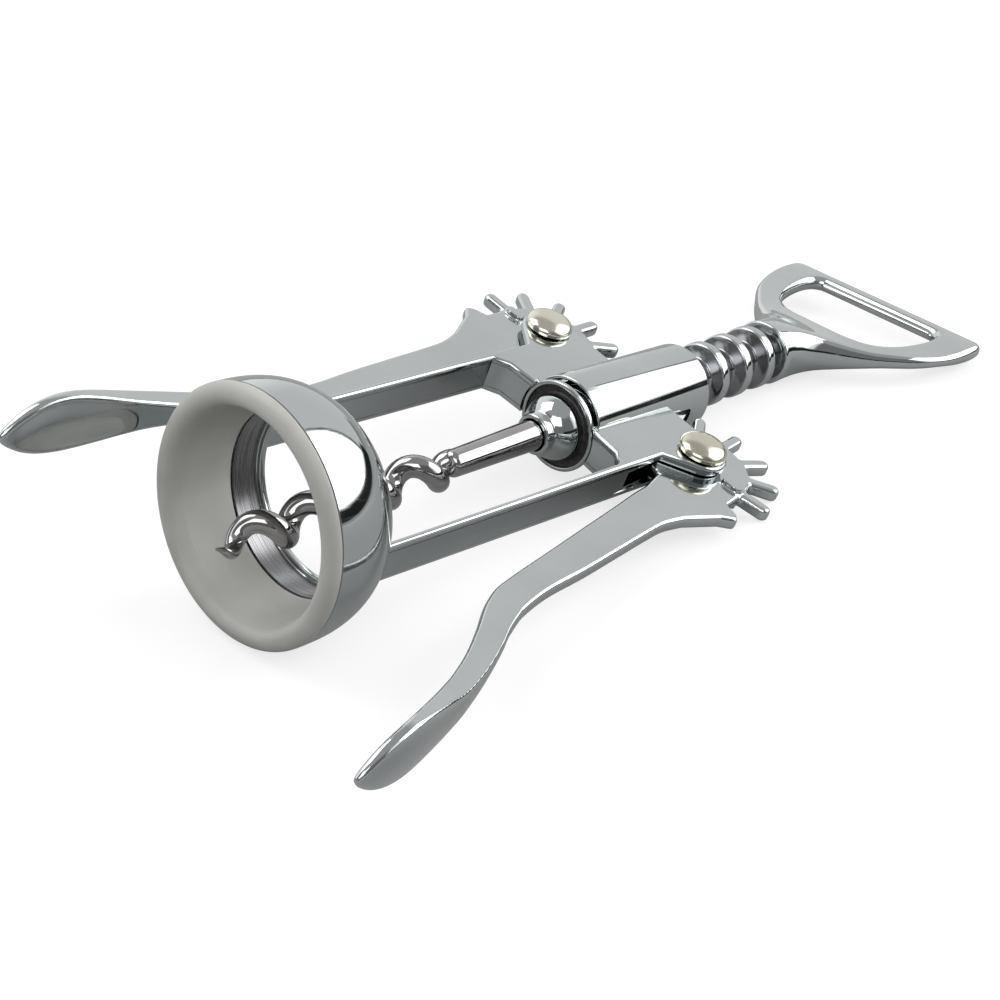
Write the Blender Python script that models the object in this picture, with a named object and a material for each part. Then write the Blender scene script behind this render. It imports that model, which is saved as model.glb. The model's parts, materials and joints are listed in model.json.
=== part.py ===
"""Wing corkscrew with a bell, two geared levers, a turned rack, an opener handle and a worm.

The pieces are modelled in the frame's own axes: +Y runs along the barrel from the bell's
mouth to the handle, +X points to the right lever and +Z is square to the levers' plane.
One empty then lays the whole object down as it rests on a table, with the origin below
the middle of its bounding box.
"""
import math

import bmesh
import bpy
from mathutils import Matrix, Vector

# Fits and cuts
CLEARANCE = 0.0003
OVERRUN = 0.002

# The levers' arms pass the bell's mouth by the overhang, and so set the pivots' station
ARM_LENGTH = 0.1100
PADDLE_OVERHANG = 0.0207
PIVOT_STATION = ARM_LENGTH - PADDLE_OVERHANG

# Bell: a dome with an open mouth at y = 0 and a hole in its crown
BELL_RADIUS = 0.0215
BELL_LENGTH = 0.0191
BELL_ROUNDNESS = 2.64
MOUTH_LAND = 0.0010
CROWN_WALL = 0.0070
NECK_BORE_WALL = 0.0061
LINER_MOUTH_WALL = 0.0017
LINER_FLOOR_WALL = 0.0044
CROWN_HOLE_RADIUS = BELL_RADIUS - CROWN_WALL
NECK_BORE_RADIUS = BELL_RADIUS - NECK_BORE_WALL
NECK_BORE_START = 0.0106
NECK_BORE_END = 0.0156
LINER_POCKET_MOUTH = BELL_RADIUS - LINER_MOUTH_WALL
LINER_POCKET_FLOOR = BELL_RADIUS - LINER_FLOOR_WALL

# Liner: a soft ring that fills the bell's mouth
LIP_CREST_INSET = 0.0021
LIP_HEIGHT = 0.0011
LIP_WIDTH = 0.0038
LINER_FLOOR_STEP = 0.0001
LIP_CREST_RADIUS = BELL_RADIUS - LIP_CREST_INSET
LIP_INNER_RADIUS = BELL_RADIUS - LIP_WIDTH
LINER_FLOOR_RADIUS = NECK_BORE_RADIUS + LINER_FLOOR_STEP

# Side rails: a leg, a gusset and an ear on each side, in one flat outline
RAIL_HALF_HEIGHT = 0.00371
LEG_INSET = 0.0037
LEG_WIDTH = 0.00135
LEG_OUTER = BELL_RADIUS - LEG_INSET
LEG_INNER = LEG_OUTER - LEG_WIDTH
LEG_ROOT = 0.0125
GUSSET_LEAD = 0.0188
GUSSET_START = PIVOT_STATION - GUSSET_LEAD
GUSSET_CORNER_WIDTH = 0.00265
GUSSET_CORNER = LEG_INNER - GUSSET_CORNER_WIDTH
GUSSET_CORNER_RUN = 0.0019
GUSSET_END_DEPTH = 0.00105
GUSSET_END_RUN = 0.0023
EAR_CORNER_BACKSET = 0.0082
EAR_PLATE = 0.0013
EAR_STEP = 0.0007
BOSS_RADIUS = 0.0050

# Barrel
BARREL_RADIUS = 0.00835
BARREL_BORE = 0.0076
BARREL_LEAD = 0.0148
BARREL_START = PIVOT_STATION - BARREL_LEAD
BARREL_LENGTH = 0.0325
BARREL_EDGE = 0.0006
SLOT_BACKSET = 0.0055
SLOT_END = BARREL_START + BARREL_LENGTH - SLOT_BACKSET
SLOT_HALF_HEIGHT = 0.0019
GUSSET_END = BARREL_RADIUS - GUSSET_END_DEPTH

# Pivots and rivets
PIVOT_OUTSET = 0.00252
PIVOT_OFFSET = LEG_OUTER + PIVOT_OUTSET
RIVET_RADIUS = 0.0023
RIVET_HEAD_RADIUS = 0.0045
RIVET_HEAD_SIDE = 0.0011
RIVET_HEAD_DOME = 0.0014
RIVET_TAIL_RADIUS = 0.0036
RIVET_TAIL_HEIGHT = 0.0011

# Levers: a gear head, a flat arm and a leaf-shaped paddle
LEVER_THICKNESS = 0.0026
FINGER_TIP_TO_AXIS = 0.00417
FINGER_LENGTH = 0.00565
FINGER_REACH = PIVOT_OFFSET - FINGER_TIP_TO_AXIS
HEAD_RADIUS = FINGER_REACH - FINGER_LENGTH
FINGER_COUNT = 7
FINGER_FIRST_ANGLE = math.radians(10.9)
FINGER_STEP = math.radians(29.15)
FINGER_WIDTH = 0.0019
HORN_LENGTH = 0.0048
HORN_ACROSS = HEAD_RADIUS + HORN_LENGTH
HORN_DROP = 0.0056
NOTCH_LENGTH = 0.0008
NOTCH_ACROSS = HEAD_RADIUS + NOTCH_LENGTH
NOTCH_DROP = 0.0038
HORN_HOLLOW_SHARES = (0.45, 0.55)
PADDLE_REACH = 0.0308
ARM_WIDTH = 0.0090
PADDLE_HALF_HEIGHT = 0.0054
DISH_DEPTH = 0.0007
PADDLE_BULGE = 0.0005
NUB_INSET = 0.0025
NUB_CENTRE = HEAD_RADIUS - NUB_INSET
NUB_LENGTH = 0.0042
NUB_WIDTH = 0.0021
NUB_HEIGHT = 0.0009
NUB_ANGLE = math.radians(7.0)

# Each row: along the arm, middle line across it and width, as shares of the
# arm's length, the paddle's reach and the arm's width
ARM_STATION_SHARES = (
    (0.140, 0.186, 1.120),
    (0.184, 0.190, 0.970),
    (0.233, 0.216, 0.905),
    (0.314, 0.262, 0.850),
    (0.401, 0.312, 0.785),
    (0.476, 0.350, 0.700),
    (0.522, 0.380, 0.690),
    (0.568, 0.422, 0.711),
    (0.608, 0.489, 0.711),
)
# The paddle's rows add the half height as a share of the paddle's own, and the
# depth of the dish as a share
PADDLE_STATION_SHARES = (
    (0.650, 0.584, 0.644, 0.260, 0.00),
    (0.709, 0.702, 0.556, 0.350, 0.00),
    (0.765, 0.794, 0.490, 0.500, 0.15),
    (0.800, 0.839, 0.430, 0.640, 0.60),
    (0.835, 0.880, 0.360, 0.810, 0.95),
    (0.870, 0.918, 0.300, 0.950, 1.00),
    (0.900, 0.946, 0.260, 1.000, 1.00),
    (0.930, 0.967, 0.235, 0.930, 0.90),
    (0.955, 0.980, 0.220, 0.760, 0.60),
    (0.975, 0.990, 0.200, 0.540, 0.20),
    (0.992, 0.997, 0.160, 0.280, 0.00),
    (1.000, 1.000, 0.100, 0.080, 0.00),
)
# Places across a section's height, and how far the dish is open there
SECTION_SHARES = (-1.0, -0.78, -0.40, 0.0, 0.40, 0.78, 1.0)
DISH_SHARES = (0.0, 0.35, 0.85, 1.0, 0.85, 0.35, 0.0)

# Play that the photograph shows: the stem leans in the barrel, the left lever
# lies against its leg, and the handle is turned about its own axis
STEM_LEAN = 0.05
ARM_TO_LEG = 0.00022325
HANDLE_TURN = math.radians(11.2)

# Stop collar on the stem
COLLAR_RADIUS = 0.00853
COLLAR_RIM = 0.0010
COLLAR_RIM_WIDTH = 0.0010
COLLAR_GROOVE_DEPTH = 0.0005
DOME_RADIUS = 0.0062
DOME_LENGTH = 0.0056
COLLAR_NOSE_RADIUS = 0.0039
COLLAR_NOSE_LENGTH = 0.0012

# Rack: ribs turned on a rod, measured along the stem from the barrel's middle
RIB_RADIUS = 0.0063
RACK_CORE_RADIUS = 0.0036
RIB_PITCH = 0.00726
RIB_LAND = 0.0012
RIB_FOOT = 0.0026
RIBS_BEHIND_MIDDLE = 6
RIBS_BEFORE_MIDDLE = 2
FIRST_RIB_BEHIND = 0.00207
RACK_END = 0.04225
SPIGOT_RADIUS = 0.0030
SPIGOT_LENGTH = 0.0080

# Worm: a shank and a pointed helix of round wire
SHANK_RADIUS = 0.0028
SHANK_FRONT_RADIUS = 0.00245
SHANK_FRONT = 0.0440
SHANK_TAPER_START = 0.0250
SHANK_SOCKET = 0.0120
SHANK_SHOULDER = 0.0012
WORM_TIP = 0.0955
WORM_PITCH = 0.01114
WORM_HELIX_RADIUS = 0.0020
WORM_WIRE_RADIUS = 0.0020
WORM_TIP_RADIUS = 0.0003
WORM_TIP_OFFSET = 0.0006
WORM_PHASE = math.radians(101.0)
WORM_EASE_SHARE = 0.10
WORM_POINT_SHARE = 0.22
WORM_TURN_IN_POWER = 3
WORM_POINT_POWER = 1.5
WORM_STRAIGHT_SLOPE = 0.05

# Opener handle, measured along the stem from the barrel's middle
HANDLE_END = 0.0863
HANDLE_HALF_WIDTH = 0.0243
HANDLE_HALF_THICKNESS = 0.0022
HANDLE_NECK_RADIUS = 0.0065
HANDLE_SQUARENESS = 2.6
HANDLE_START = RACK_END + CLEARANCE
LOOP_START_SHARE = 0.44
LOOP_BAR = 0.0041
LOOP_START = HANDLE_START + (HANDLE_END - HANDLE_START) * LOOP_START_SHARE
LOOP_END = HANDLE_END - LOOP_BAR
LOOP_HALF_WIDTH = 0.0163
LOOP_EDGE = 0.0010
LIP_RIB_RADIUS = 0.0012
LIP_RIB_HALF_LENGTH = 0.0137
LIP_RIB_LIFT = 0.0004

# Each row: along the handle from its neck to its end, then its half width and
# half thickness, as shares of the handle's own
HANDLE_STATION_SHARES = (
    (0.085, 0.270, 2.70),
    (0.153, 0.290, 2.42),
    (0.222, 0.353, 2.05),
    (0.290, 0.475, 1.68),
    (0.370, 0.620, 1.40),
    (0.450, 0.730, 1.22),
    (0.542, 0.843, 1.09),
    (0.634, 0.920, 1.02),
    (0.748, 0.979, 1.00),
    (0.840, 1.000, 1.00),
    (0.920, 0.985, 0.99),
    (0.966, 0.940, 0.92),
    (0.990, 0.885, 0.76),
    (1.000, 0.835, 0.45),
)
# Half of the loop's outline: along it from its bottom to its bar, then across
# it, as shares of the loop's length and half width
LOOP_OUTLINE_SHARES = (
    (0.00, 0.15),
    (0.02, 0.36),
    (0.07, 0.58),
    (0.17, 0.76),
    (0.33, 0.89),
    (0.55, 0.97),
    (0.78, 1.00),
    (0.92, 0.97),
    (0.98, 0.90),
    (1.00, 0.80),
)

# Roundness of the meshes
BELL_SIDES = 40
BARREL_SIDES = 32
STEM_SIDES = 24
RIVET_SIDES = 20
WIRE_SIDES = 10
WORM_STEPS_PER_TURN = 18
CURVE_STEPS = 6
SMOOTH_ANGLE = math.radians(32.0)


def clear_scene():
    """Remove everything that is in the scene before the model is built."""
    for item in list(bpy.data.objects):
        bpy.data.objects.remove(item, do_unlink=True)


def make_material(name, colour, roughness, metallic):
    material = bpy.data.materials.new(name)
    material.use_nodes = True
    shader = material.node_tree.nodes["Principled BSDF"]
    shader.inputs["Base Color"].default_value = (*colour, 1.0)
    shader.inputs["Roughness"].default_value = roughness
    shader.inputs["Metallic"].default_value = metallic
    return material


def make_object(name, mesh_data, parent, material):
    """Turn a bmesh into a named object with outward faces and smooth shading."""
    bmesh.ops.recalc_face_normals(mesh_data, faces=mesh_data.faces)
    mesh = bpy.data.meshes.new(name)
    mesh_data.to_mesh(mesh)
    mesh_data.free()
    mesh.shade_smooth()
    mesh.set_sharp_from_angle(angle=SMOOTH_ANGLE)
    mesh.materials.append(material)
    item = bpy.data.objects.new(name, mesh)
    bpy.context.collection.objects.link(item)
    item.parent = parent
    return item


def make_cutter(name, mesh_data, parent, material):
    """A guide solid for a Boolean: it isn't a piece of the object."""
    item = make_object(name, mesh_data, parent, material)
    item.display_type = "WIRE"
    item.hide_render = True
    return item


def make_empty(name, parent, place=(0, 0, 0)):
    item = bpy.data.objects.new(name, None)
    bpy.context.collection.objects.link(item)
    item.parent = parent
    item.location = place
    return item


def add_boolean(item, tool, operation):
    modifier = item.modifiers.new(tool.name, "BOOLEAN")
    modifier.object = tool
    modifier.operation = operation
    modifier.solver = "EXACT"


def add_bevel(item, width, segments, angle):
    modifier = item.modifiers.new("Edge rounding", "BEVEL")
    modifier.width = width
    modifier.segments = segments
    modifier.limit_method = "ANGLE"
    modifier.angle_limit = angle


def ring_around_y(mesh_data, radius, along, sides):
    """One ring of vertices about Y, or a single one where the radius is zero."""
    if radius == 0:
        return [mesh_data.verts.new((0, along, 0))]
    turns = [2 * math.pi * index / sides for index in range(sides)]
    return [mesh_data.verts.new((radius * math.cos(a), along, radius * math.sin(a))) for a in turns]


def join_rings(mesh_data, first, second):
    """Faces between two rings of the same size, or a fan where one is a point."""
    if len(first) == 1 and len(second) == 1:
        return
    if len(first) == 1 or len(second) == 1:
        point, ring = (first[0], second) if len(first) == 1 else (second[0], first)
        for index in range(len(ring)):
            mesh_data.faces.new((point, ring[index], ring[(index + 1) % len(ring)]))
        return
    for index in range(len(first)):
        after = (index + 1) % len(first)
        mesh_data.faces.new((first[index], first[after], second[after], second[index]))


def turned(profile, sides, closed=False):
    """A turned solid about Y from points (radius, along).

    A closed profile runs back to its first point and makes a ring with a bore.
    """
    mesh_data = bmesh.new()
    rings = [ring_around_y(mesh_data, radius, along, sides) for radius, along in profile]
    for first, second in zip(rings, rings[1:]):
        join_rings(mesh_data, first, second)
    if closed:
        join_rings(mesh_data, rings[-1], rings[0])
    return mesh_data


def rod(radius, start, end, sides):
    """A plain solid cylinder about Y."""
    return turned(((0, start), (radius, start), (radius, end), (0, end)), sides)


def stand_on_z(mesh_data):
    """Turn a solid made about Y so that its axis is Z."""
    bmesh.ops.rotate(mesh_data, verts=mesh_data.verts, matrix=Matrix.Rotation(math.pi / 2, 3, "X"))
    return mesh_data


def arc(centre, radii, start, end, steps):
    """Points on an elliptical arc, both ends included."""
    angles = [start + (end - start) * index / steps for index in range(steps + 1)]
    return [(centre[0] + radii[0] * math.cos(a), centre[1] + radii[1] * math.sin(a)) for a in angles]


def layered_prism(layers):
    """A flat-topped solid from layers (height, outline), from the bottom to the top."""
    mesh_data = bmesh.new()
    rings = []
    for height, outline in layers:
        rings.append([mesh_data.verts.new((x, y, height)) for x, y in outline])
    for lower, upper in zip(rings, rings[1:]):
        join_rings(mesh_data, lower, upper)
    mesh_data.faces.new(list(reversed(rings[0])))
    mesh_data.faces.new(rings[-1])
    return mesh_data


def loft(sections):
    """A solid through closed sections with the same number of points."""
    mesh_data = bmesh.new()
    rings = [[mesh_data.verts.new(point) for point in section] for section in sections]
    for first, second in zip(rings, rings[1:]):
        join_rings(mesh_data, first, second)
    mesh_data.faces.new(list(reversed(rings[0])))
    mesh_data.faces.new(rings[-1])
    return mesh_data


def mirror_copy(mesh_data):
    """Add a copy mirrored across x = 0, as a second closed shell."""
    copied = bmesh.ops.duplicate(mesh_data, geom=mesh_data.verts[:] + mesh_data.edges[:] + mesh_data.faces[:])
    vertices = [part for part in copied["geom"] if isinstance(part, bmesh.types.BMVert)]
    bmesh.ops.scale(mesh_data, vec=(-1, 1, 1), verts=vertices)
    bmesh.ops.reverse_faces(mesh_data, faces=[p for p in copied["geom"] if isinstance(p, bmesh.types.BMFace)])
    return mesh_data


def bell_outside(radius):
    """How far behind the mouth the bell's dome has narrowed to a radius."""
    fall = (1 - (radius / BELL_RADIUS) ** BELL_ROUNDNESS) ** (1 / BELL_ROUNDNESS)
    return MOUTH_LAND + BELL_LENGTH * fall


def bell_profile():
    """The bell's closed profile: dome, crown hole, neck bore and liner pocket."""
    steps = 3 * CURVE_STEPS
    last = math.acos(CROWN_HOLE_RADIUS / BELL_RADIUS)
    radii = [BELL_RADIUS * math.cos(last * index / steps) for index in range(steps + 1)]
    dome = [(radius, bell_outside(radius)) for radius in radii]
    return dome + [
        (CROWN_HOLE_RADIUS, NECK_BORE_END),
        (NECK_BORE_RADIUS, NECK_BORE_END),
        (NECK_BORE_RADIUS, NECK_BORE_START),
        (LINER_POCKET_FLOOR, NECK_BORE_START),
        (LINER_POCKET_MOUTH, MOUTH_LAND),
    ]


def liner_profile():
    """The liner's closed profile: rounded lip, conical inside and the wall in the pocket."""
    flange = MOUTH_LAND - CLEARANCE
    outer = arc((LIP_CREST_RADIUS, flange), (BELL_RADIUS - LIP_CREST_RADIUS, LIP_HEIGHT + flange),
                0, -math.pi / 2, CURVE_STEPS)
    inner = arc((LIP_CREST_RADIUS, flange), (LIP_CREST_RADIUS - LIP_INNER_RADIUS, LIP_HEIGHT + flange),
                -math.pi / 2, -math.pi, CURVE_STEPS)
    floor = NECK_BORE_START - CLEARANCE
    return outer + inner[1:] + [
        (LINER_FLOOR_RADIUS, floor),
        (LINER_POCKET_FLOOR - CLEARANCE, floor),
        (LINER_POCKET_MOUTH - CLEARANCE, flange),
    ]


def rail_outline(step):
    """Half of the frame seen along Z: leg, gusset and ear. The step draws its outer side in."""
    boss = BOSS_RADIUS - step
    corner_along = PIVOT_STATION - EAR_CORNER_BACKSET
    centre = Vector((PIVOT_OFFSET, PIVOT_STATION))
    corner = Vector((LEG_OUTER - step, corner_along + step))
    towards = corner - centre
    tangent = math.atan2(towards.y, towards.x) + math.acos(boss / towards.length)
    return (
        [(LEG_INNER, LEG_ROOT), (LEG_OUTER, LEG_ROOT), (LEG_OUTER, GUSSET_START), tuple(corner)]
        + arc(centre, (boss, boss), tangent, math.pi / 2, 2 * CURVE_STEPS)
        + [
            (BARREL_BORE / 2, PIVOT_STATION + boss),
            (BARREL_BORE / 2, GUSSET_START + GUSSET_END_RUN),
            (GUSSET_END, GUSSET_START + GUSSET_END_RUN),
            (GUSSET_CORNER, GUSSET_START + GUSSET_CORNER_RUN),
            (LEG_INNER, GUSSET_START),
        ]
    )


def build_frame(root, chrome):
    """The frame casting: bell, two rails and barrel, cut for stem, levers and rivets."""
    frame = make_object("frame", turned(bell_profile(), BELL_SIDES, closed=True), root, chrome)

    top = RAIL_HALF_HEIGHT
    plate = RAIL_HALF_HEIGHT - EAR_PLATE
    full, inset = rail_outline(0), rail_outline(EAR_STEP)
    layers = [(-top, full), (-plate, full), (-plate, inset), (plate, inset), (plate, full), (top, full)]
    rails = make_cutter("rails_guide", mirror_copy(layered_prism(layers)), root, chrome)
    add_boolean(frame, rails, "UNION")

    barrel_end = BARREL_START + BARREL_LENGTH
    edge = arc((BARREL_RADIUS - BARREL_EDGE, barrel_end - BARREL_EDGE), (BARREL_EDGE, BARREL_EDGE),
               0, math.pi / 2, CURVE_STEPS // 2)
    barrel_profile = [(0, BARREL_START), (BARREL_RADIUS, BARREL_START), *edge, (0, barrel_end)]
    barrel = make_cutter("barrel_guide", turned(barrel_profile, BARREL_SIDES), root, chrome)
    add_boolean(frame, barrel, "UNION")

    bore = rod(BARREL_BORE, GUSSET_START - OVERRUN, barrel_end + OVERRUN, BARREL_SIDES)
    add_boolean(frame, make_cutter("bore_guide", bore, root, chrome), "DIFFERENCE")

    # One slot across the barrel lets the fingers of both levers reach the rack
    slot_start = 2 * PIVOT_STATION - SLOT_END
    reach = BARREL_RADIUS + CLEARANCE
    outline = [(-reach, slot_start), (reach, slot_start), (reach, SLOT_END), (-reach, SLOT_END)]
    slot = layered_prism([(-SLOT_HALF_HEIGHT, outline), (SLOT_HALF_HEIGHT, outline)])
    add_boolean(frame, make_cutter("slot_guide", slot, root, chrome), "DIFFERENCE")

    for side, label in ((1, "right"), (-1, "left")):
        pocket = rod(FINGER_REACH + 2 * CLEARANCE, -LEVER_THICKNESS / 2 - CLEARANCE,
                     LEVER_THICKNESS / 2 + CLEARANCE, BARREL_SIDES)
        cutter = make_cutter(f"lever_pocket_guide_{label}", stand_on_z(pocket), root, chrome)
        cutter.location = (side * PIVOT_OFFSET, PIVOT_STATION, 0)
        add_boolean(frame, cutter, "DIFFERENCE")
        hole = rod(RIVET_RADIUS + CLEARANCE, -RAIL_HALF_HEIGHT - OVERRUN, RAIL_HALF_HEIGHT + OVERRUN,
                   RIVET_SIDES)
        cutter = make_cutter(f"rivet_hole_guide_{label}", stand_on_z(hole), root, chrome)
        cutter.location = (side * PIVOT_OFFSET, PIVOT_STATION, 0)
        add_boolean(frame, cutter, "DIFFERENCE")
    return frame


def collar_back():
    """Station of the stop collar's back, where its leaning rim just clears the barrel."""
    return -BARREL_LENGTH / 2 - CLEARANCE - COLLAR_RADIUS * math.sin(STEM_LEAN)


def cut_collar_seat(frame, stem, chrome):
    """Room for the leaning collar between the ends of the two gussets."""
    seat = rod(COLLAR_RADIUS + CLEARANCE, collar_back() - COLLAR_RIM - DOME_LENGTH, collar_back(), STEM_SIDES)
    add_boolean(frame, make_cutter("collar_seat_guide", seat, stem, chrome), "DIFFERENCE")


def build_liner(root, plastic):
    return make_object("bell_liner", turned(liner_profile(), BELL_SIDES, closed=True), root, plastic)


def build_rivet(label, side, root, metal):
    """A headed rivet through both ears and the lever, with its tail peened over."""
    seat = RAIL_HALF_HEIGHT + CLEARANCE
    tail = arc((0, -seat), (RIVET_TAIL_RADIUS, RIVET_TAIL_HEIGHT), -math.pi / 2, 0, CURVE_STEPS // 2)
    head = arc((0, seat + RIVET_HEAD_SIDE), (RIVET_HEAD_RADIUS, RIVET_HEAD_DOME),
               0, math.pi / 2, CURVE_STEPS)
    profile = [(0, tail[0][1]), *tail[1:], (RIVET_RADIUS, -seat), (RIVET_RADIUS, seat),
               (RIVET_HEAD_RADIUS, seat), *head[:-1], (0, head[-1][1])]
    # A solid turned about Y is stood up on Z by a quarter turn
    rivet = make_object(f"rivet_{label}", stand_on_z(turned(profile, RIVET_SIDES)), root, metal)
    rivet.location = (side * PIVOT_OFFSET, PIVOT_STATION, 0)
    return rivet


def head_outline():
    """The gear head seen along Z, from the arm's inner edge round the fingers to the horn."""
    half = FINGER_WIDTH / 2
    along, middle, width = ARM_STATION_SHARES[0]
    inner = (middle * PADDLE_REACH - width * ARM_WIDTH / 2, -along * ARM_LENGTH)
    outer = (middle * PADDLE_REACH + width * ARM_WIDTH / 2, -along * ARM_LENGTH)
    sweep = half / HEAD_RADIUS
    across_share, along_share = HORN_HOLLOW_SHARES
    hollow = (HORN_ACROSS - (HORN_ACROSS - outer[0]) * across_share,
              -HORN_DROP + (HORN_DROP + outer[1]) * along_share)
    points = [outer, hollow, (HORN_ACROSS, -HORN_DROP), (NOTCH_ACROSS, -NOTCH_DROP)]
    for index in range(FINGER_COUNT):
        angle = FINGER_FIRST_ANGLE + index * FINGER_STEP
        points.append((HEAD_RADIUS * math.cos(angle - sweep), HEAD_RADIUS * math.sin(angle - sweep)))
        for x, y in arc((FINGER_REACH - half, 0), (half, half), -math.pi / 2, math.pi / 2, CURVE_STEPS):
            points.append((x * math.cos(angle) - y * math.sin(angle), x * math.sin(angle) + y * math.cos(angle)))
        points.append((HEAD_RADIUS * math.cos(angle + sweep), HEAD_RADIUS * math.sin(angle + sweep)))
        middle_angle = angle + FINGER_STEP / 2
        points.append((HEAD_RADIUS * math.cos(middle_angle), HEAD_RADIUS * math.sin(middle_angle)))
    last_angle = FINGER_FIRST_ANGLE + (FINGER_COUNT - 0.5) * FINGER_STEP
    end_angle = math.atan2(inner[1], inner[0])
    if end_angle < 0:
        end_angle += 2 * math.pi
    turn = arc((0, 0), (HEAD_RADIUS, HEAD_RADIUS), last_angle, end_angle, CURVE_STEPS)
    return points + turn[1:-1] + [inner]


def arm_section(along, middle, width, half_height, dish, bulge):
    """One section across the arm: up the inner side, then down the outer side."""
    station = -along * ARM_LENGTH
    inner = middle * PADDLE_REACH - width * ARM_WIDTH / 2
    outer = middle * PADDLE_REACH + width * ARM_WIDTH / 2
    up = [(inner + dish * share, station, half_height * place)
          for place, share in zip(SECTION_SHARES, DISH_SHARES)]
    down = [(outer + bulge * share, station, half_height * place)
            for place, share in zip(reversed(SECTION_SHARES), DISH_SHARES)]
    return up + down


def lever_mesh():
    """Head, arm and paddle as one skin. The pivot is at the origin and the arm points to -Y."""
    mesh_data = bmesh.new()
    half = LEVER_THICKNESS / 2
    outline = head_outline()
    top = [mesh_data.verts.new((x, y, half)) for x, y in outline]
    bottom = [mesh_data.verts.new((x, y, -half)) for x, y in outline]
    mesh_data.faces.new(top)
    mesh_data.faces.new(list(reversed(bottom)))
    for index in range(len(outline) - 1):
        mesh_data.faces.new((bottom[index], bottom[index + 1], top[index + 1], top[index]))

    sections = [arm_section(*row, half, 0, 0) for row in ARM_STATION_SHARES[1:]]
    for along, middle, width, height, dish in PADDLE_STATION_SHARES:
        sections.append(arm_section(along, middle, width, height * PADDLE_HALF_HEIGHT,
                                    dish * DISH_DEPTH, dish * PADDLE_BULGE))
    rings = [[mesh_data.verts.new(point) for point in section] for section in sections]
    count = len(SECTION_SHARES)
    first = rings[0]
    # The head meets the first section with a face on each of its four sides
    mesh_data.faces.new((top[-1], top[0], first[count], first[count - 1]))
    mesh_data.faces.new((bottom[0], bottom[-1], first[0], first[-1]))
    mesh_data.faces.new((bottom[-1], top[-1], *reversed(first[:count])))
    mesh_data.faces.new((top[0], bottom[0], *reversed(first[count:])))
    for one, other in zip(rings, rings[1:]):
        join_rings(mesh_data, one, other)
    mesh_data.faces.new(rings[-1])
    return mesh_data


def nub_mesh():
    """A raised pill on both faces of the head, along its radius."""
    half_width = NUB_WIDTH / 2
    reach = NUB_LENGTH / 2 - half_width
    top = LEVER_THICKNESS / 2 + NUB_HEIGHT
    outline = arc((reach, 0), (half_width, half_width), -math.pi / 2, math.pi / 2, CURVE_STEPS)
    outline += arc((-reach, 0), (half_width, half_width), math.pi / 2, 1.5 * math.pi, CURVE_STEPS)
    mesh_data = layered_prism([(-top, outline), (top, outline)])
    bmesh.ops.translate(mesh_data, vec=(NUB_CENTRE, 0, 0), verts=mesh_data.verts)
    bmesh.ops.rotate(mesh_data, verts=mesh_data.verts, matrix=Matrix.Rotation(NUB_ANGLE, 3, "Z"))
    return mesh_data


def lever_play():
    """How far the left lever has swung in when its arm lies against its leg."""
    leg = PIVOT_OUTSET - ARM_TO_LEG
    angles = []
    for along, middle, width in ARM_STATION_SHARES:
        inner = middle * PADDLE_REACH - width * ARM_WIDTH / 2
        station = along * ARM_LENGTH
        angles.append(math.atan2(inner, station) + math.asin(leg / math.hypot(inner, station)))
    return min(angles)


def build_levers(root, chrome):
    """Two levers from the same casting: the left one is turned over about Y."""
    levers = []
    for side, label in ((1, "right"), (-1, "left")):
        pivot = make_empty(f"pivot_{label}", root, (side * PIVOT_OFFSET, PIVOT_STATION, 0))
        if side < 0:
            pivot.rotation_euler = (0, math.pi, lever_play())
        lever = make_object(f"lever_{label}", lever_mesh(), pivot, chrome)
        add_boolean(lever, make_cutter(f"nub_guide_{label}", nub_mesh(), pivot, chrome), "UNION")
        hole = rod(RIVET_RADIUS + CLEARANCE, -LEVER_THICKNESS - OVERRUN, LEVER_THICKNESS + OVERRUN, RIVET_SIDES)
        cutter = make_cutter(f"pivot_hole_guide_{label}", stand_on_z(hole), pivot, chrome)
        add_boolean(lever, cutter, "DIFFERENCE")
        levers.append(lever)
    return levers


def build_collar(stem, chrome):
    """The stop collar: a thin rim, a groove, a dome and a nose ring, with the shank's bore."""
    back = collar_back()
    front = back - COLLAR_RIM
    bore = SHANK_RADIUS + CLEARANCE
    groove_outer = COLLAR_RADIUS - COLLAR_RIM_WIDTH
    dome = arc((0, front), (DOME_RADIUS, DOME_LENGTH), 0,
               -math.acos(COLLAR_NOSE_RADIUS / DOME_RADIUS), CURVE_STEPS)
    nose = front - DOME_LENGTH - COLLAR_NOSE_LENGTH / 2
    edge = COLLAR_RIM_WIDTH / 4
    profile = [
        (bore, back), (COLLAR_RADIUS - edge, back), (COLLAR_RADIUS, back - edge),
        (COLLAR_RADIUS, front + edge), (COLLAR_RADIUS - edge, front), (groove_outer, front),
        ((groove_outer + DOME_RADIUS) / 2, front + COLLAR_GROOVE_DEPTH),
        *dome,
        (COLLAR_NOSE_RADIUS, nose + edge), (COLLAR_NOSE_RADIUS - edge, nose), (bore, nose),
    ]
    return make_object("stop_collar", turned(profile, STEM_SIDES, closed=True), stem, chrome)


def rib_stations():
    """Middles of the ribs along the stem, measured from the barrel's middle."""
    return [FIRST_RIB_BEHIND + RIB_PITCH * index for index in range(-RIBS_BEFORE_MIDDLE, RIBS_BEHIND_MIDDLE)]


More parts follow.
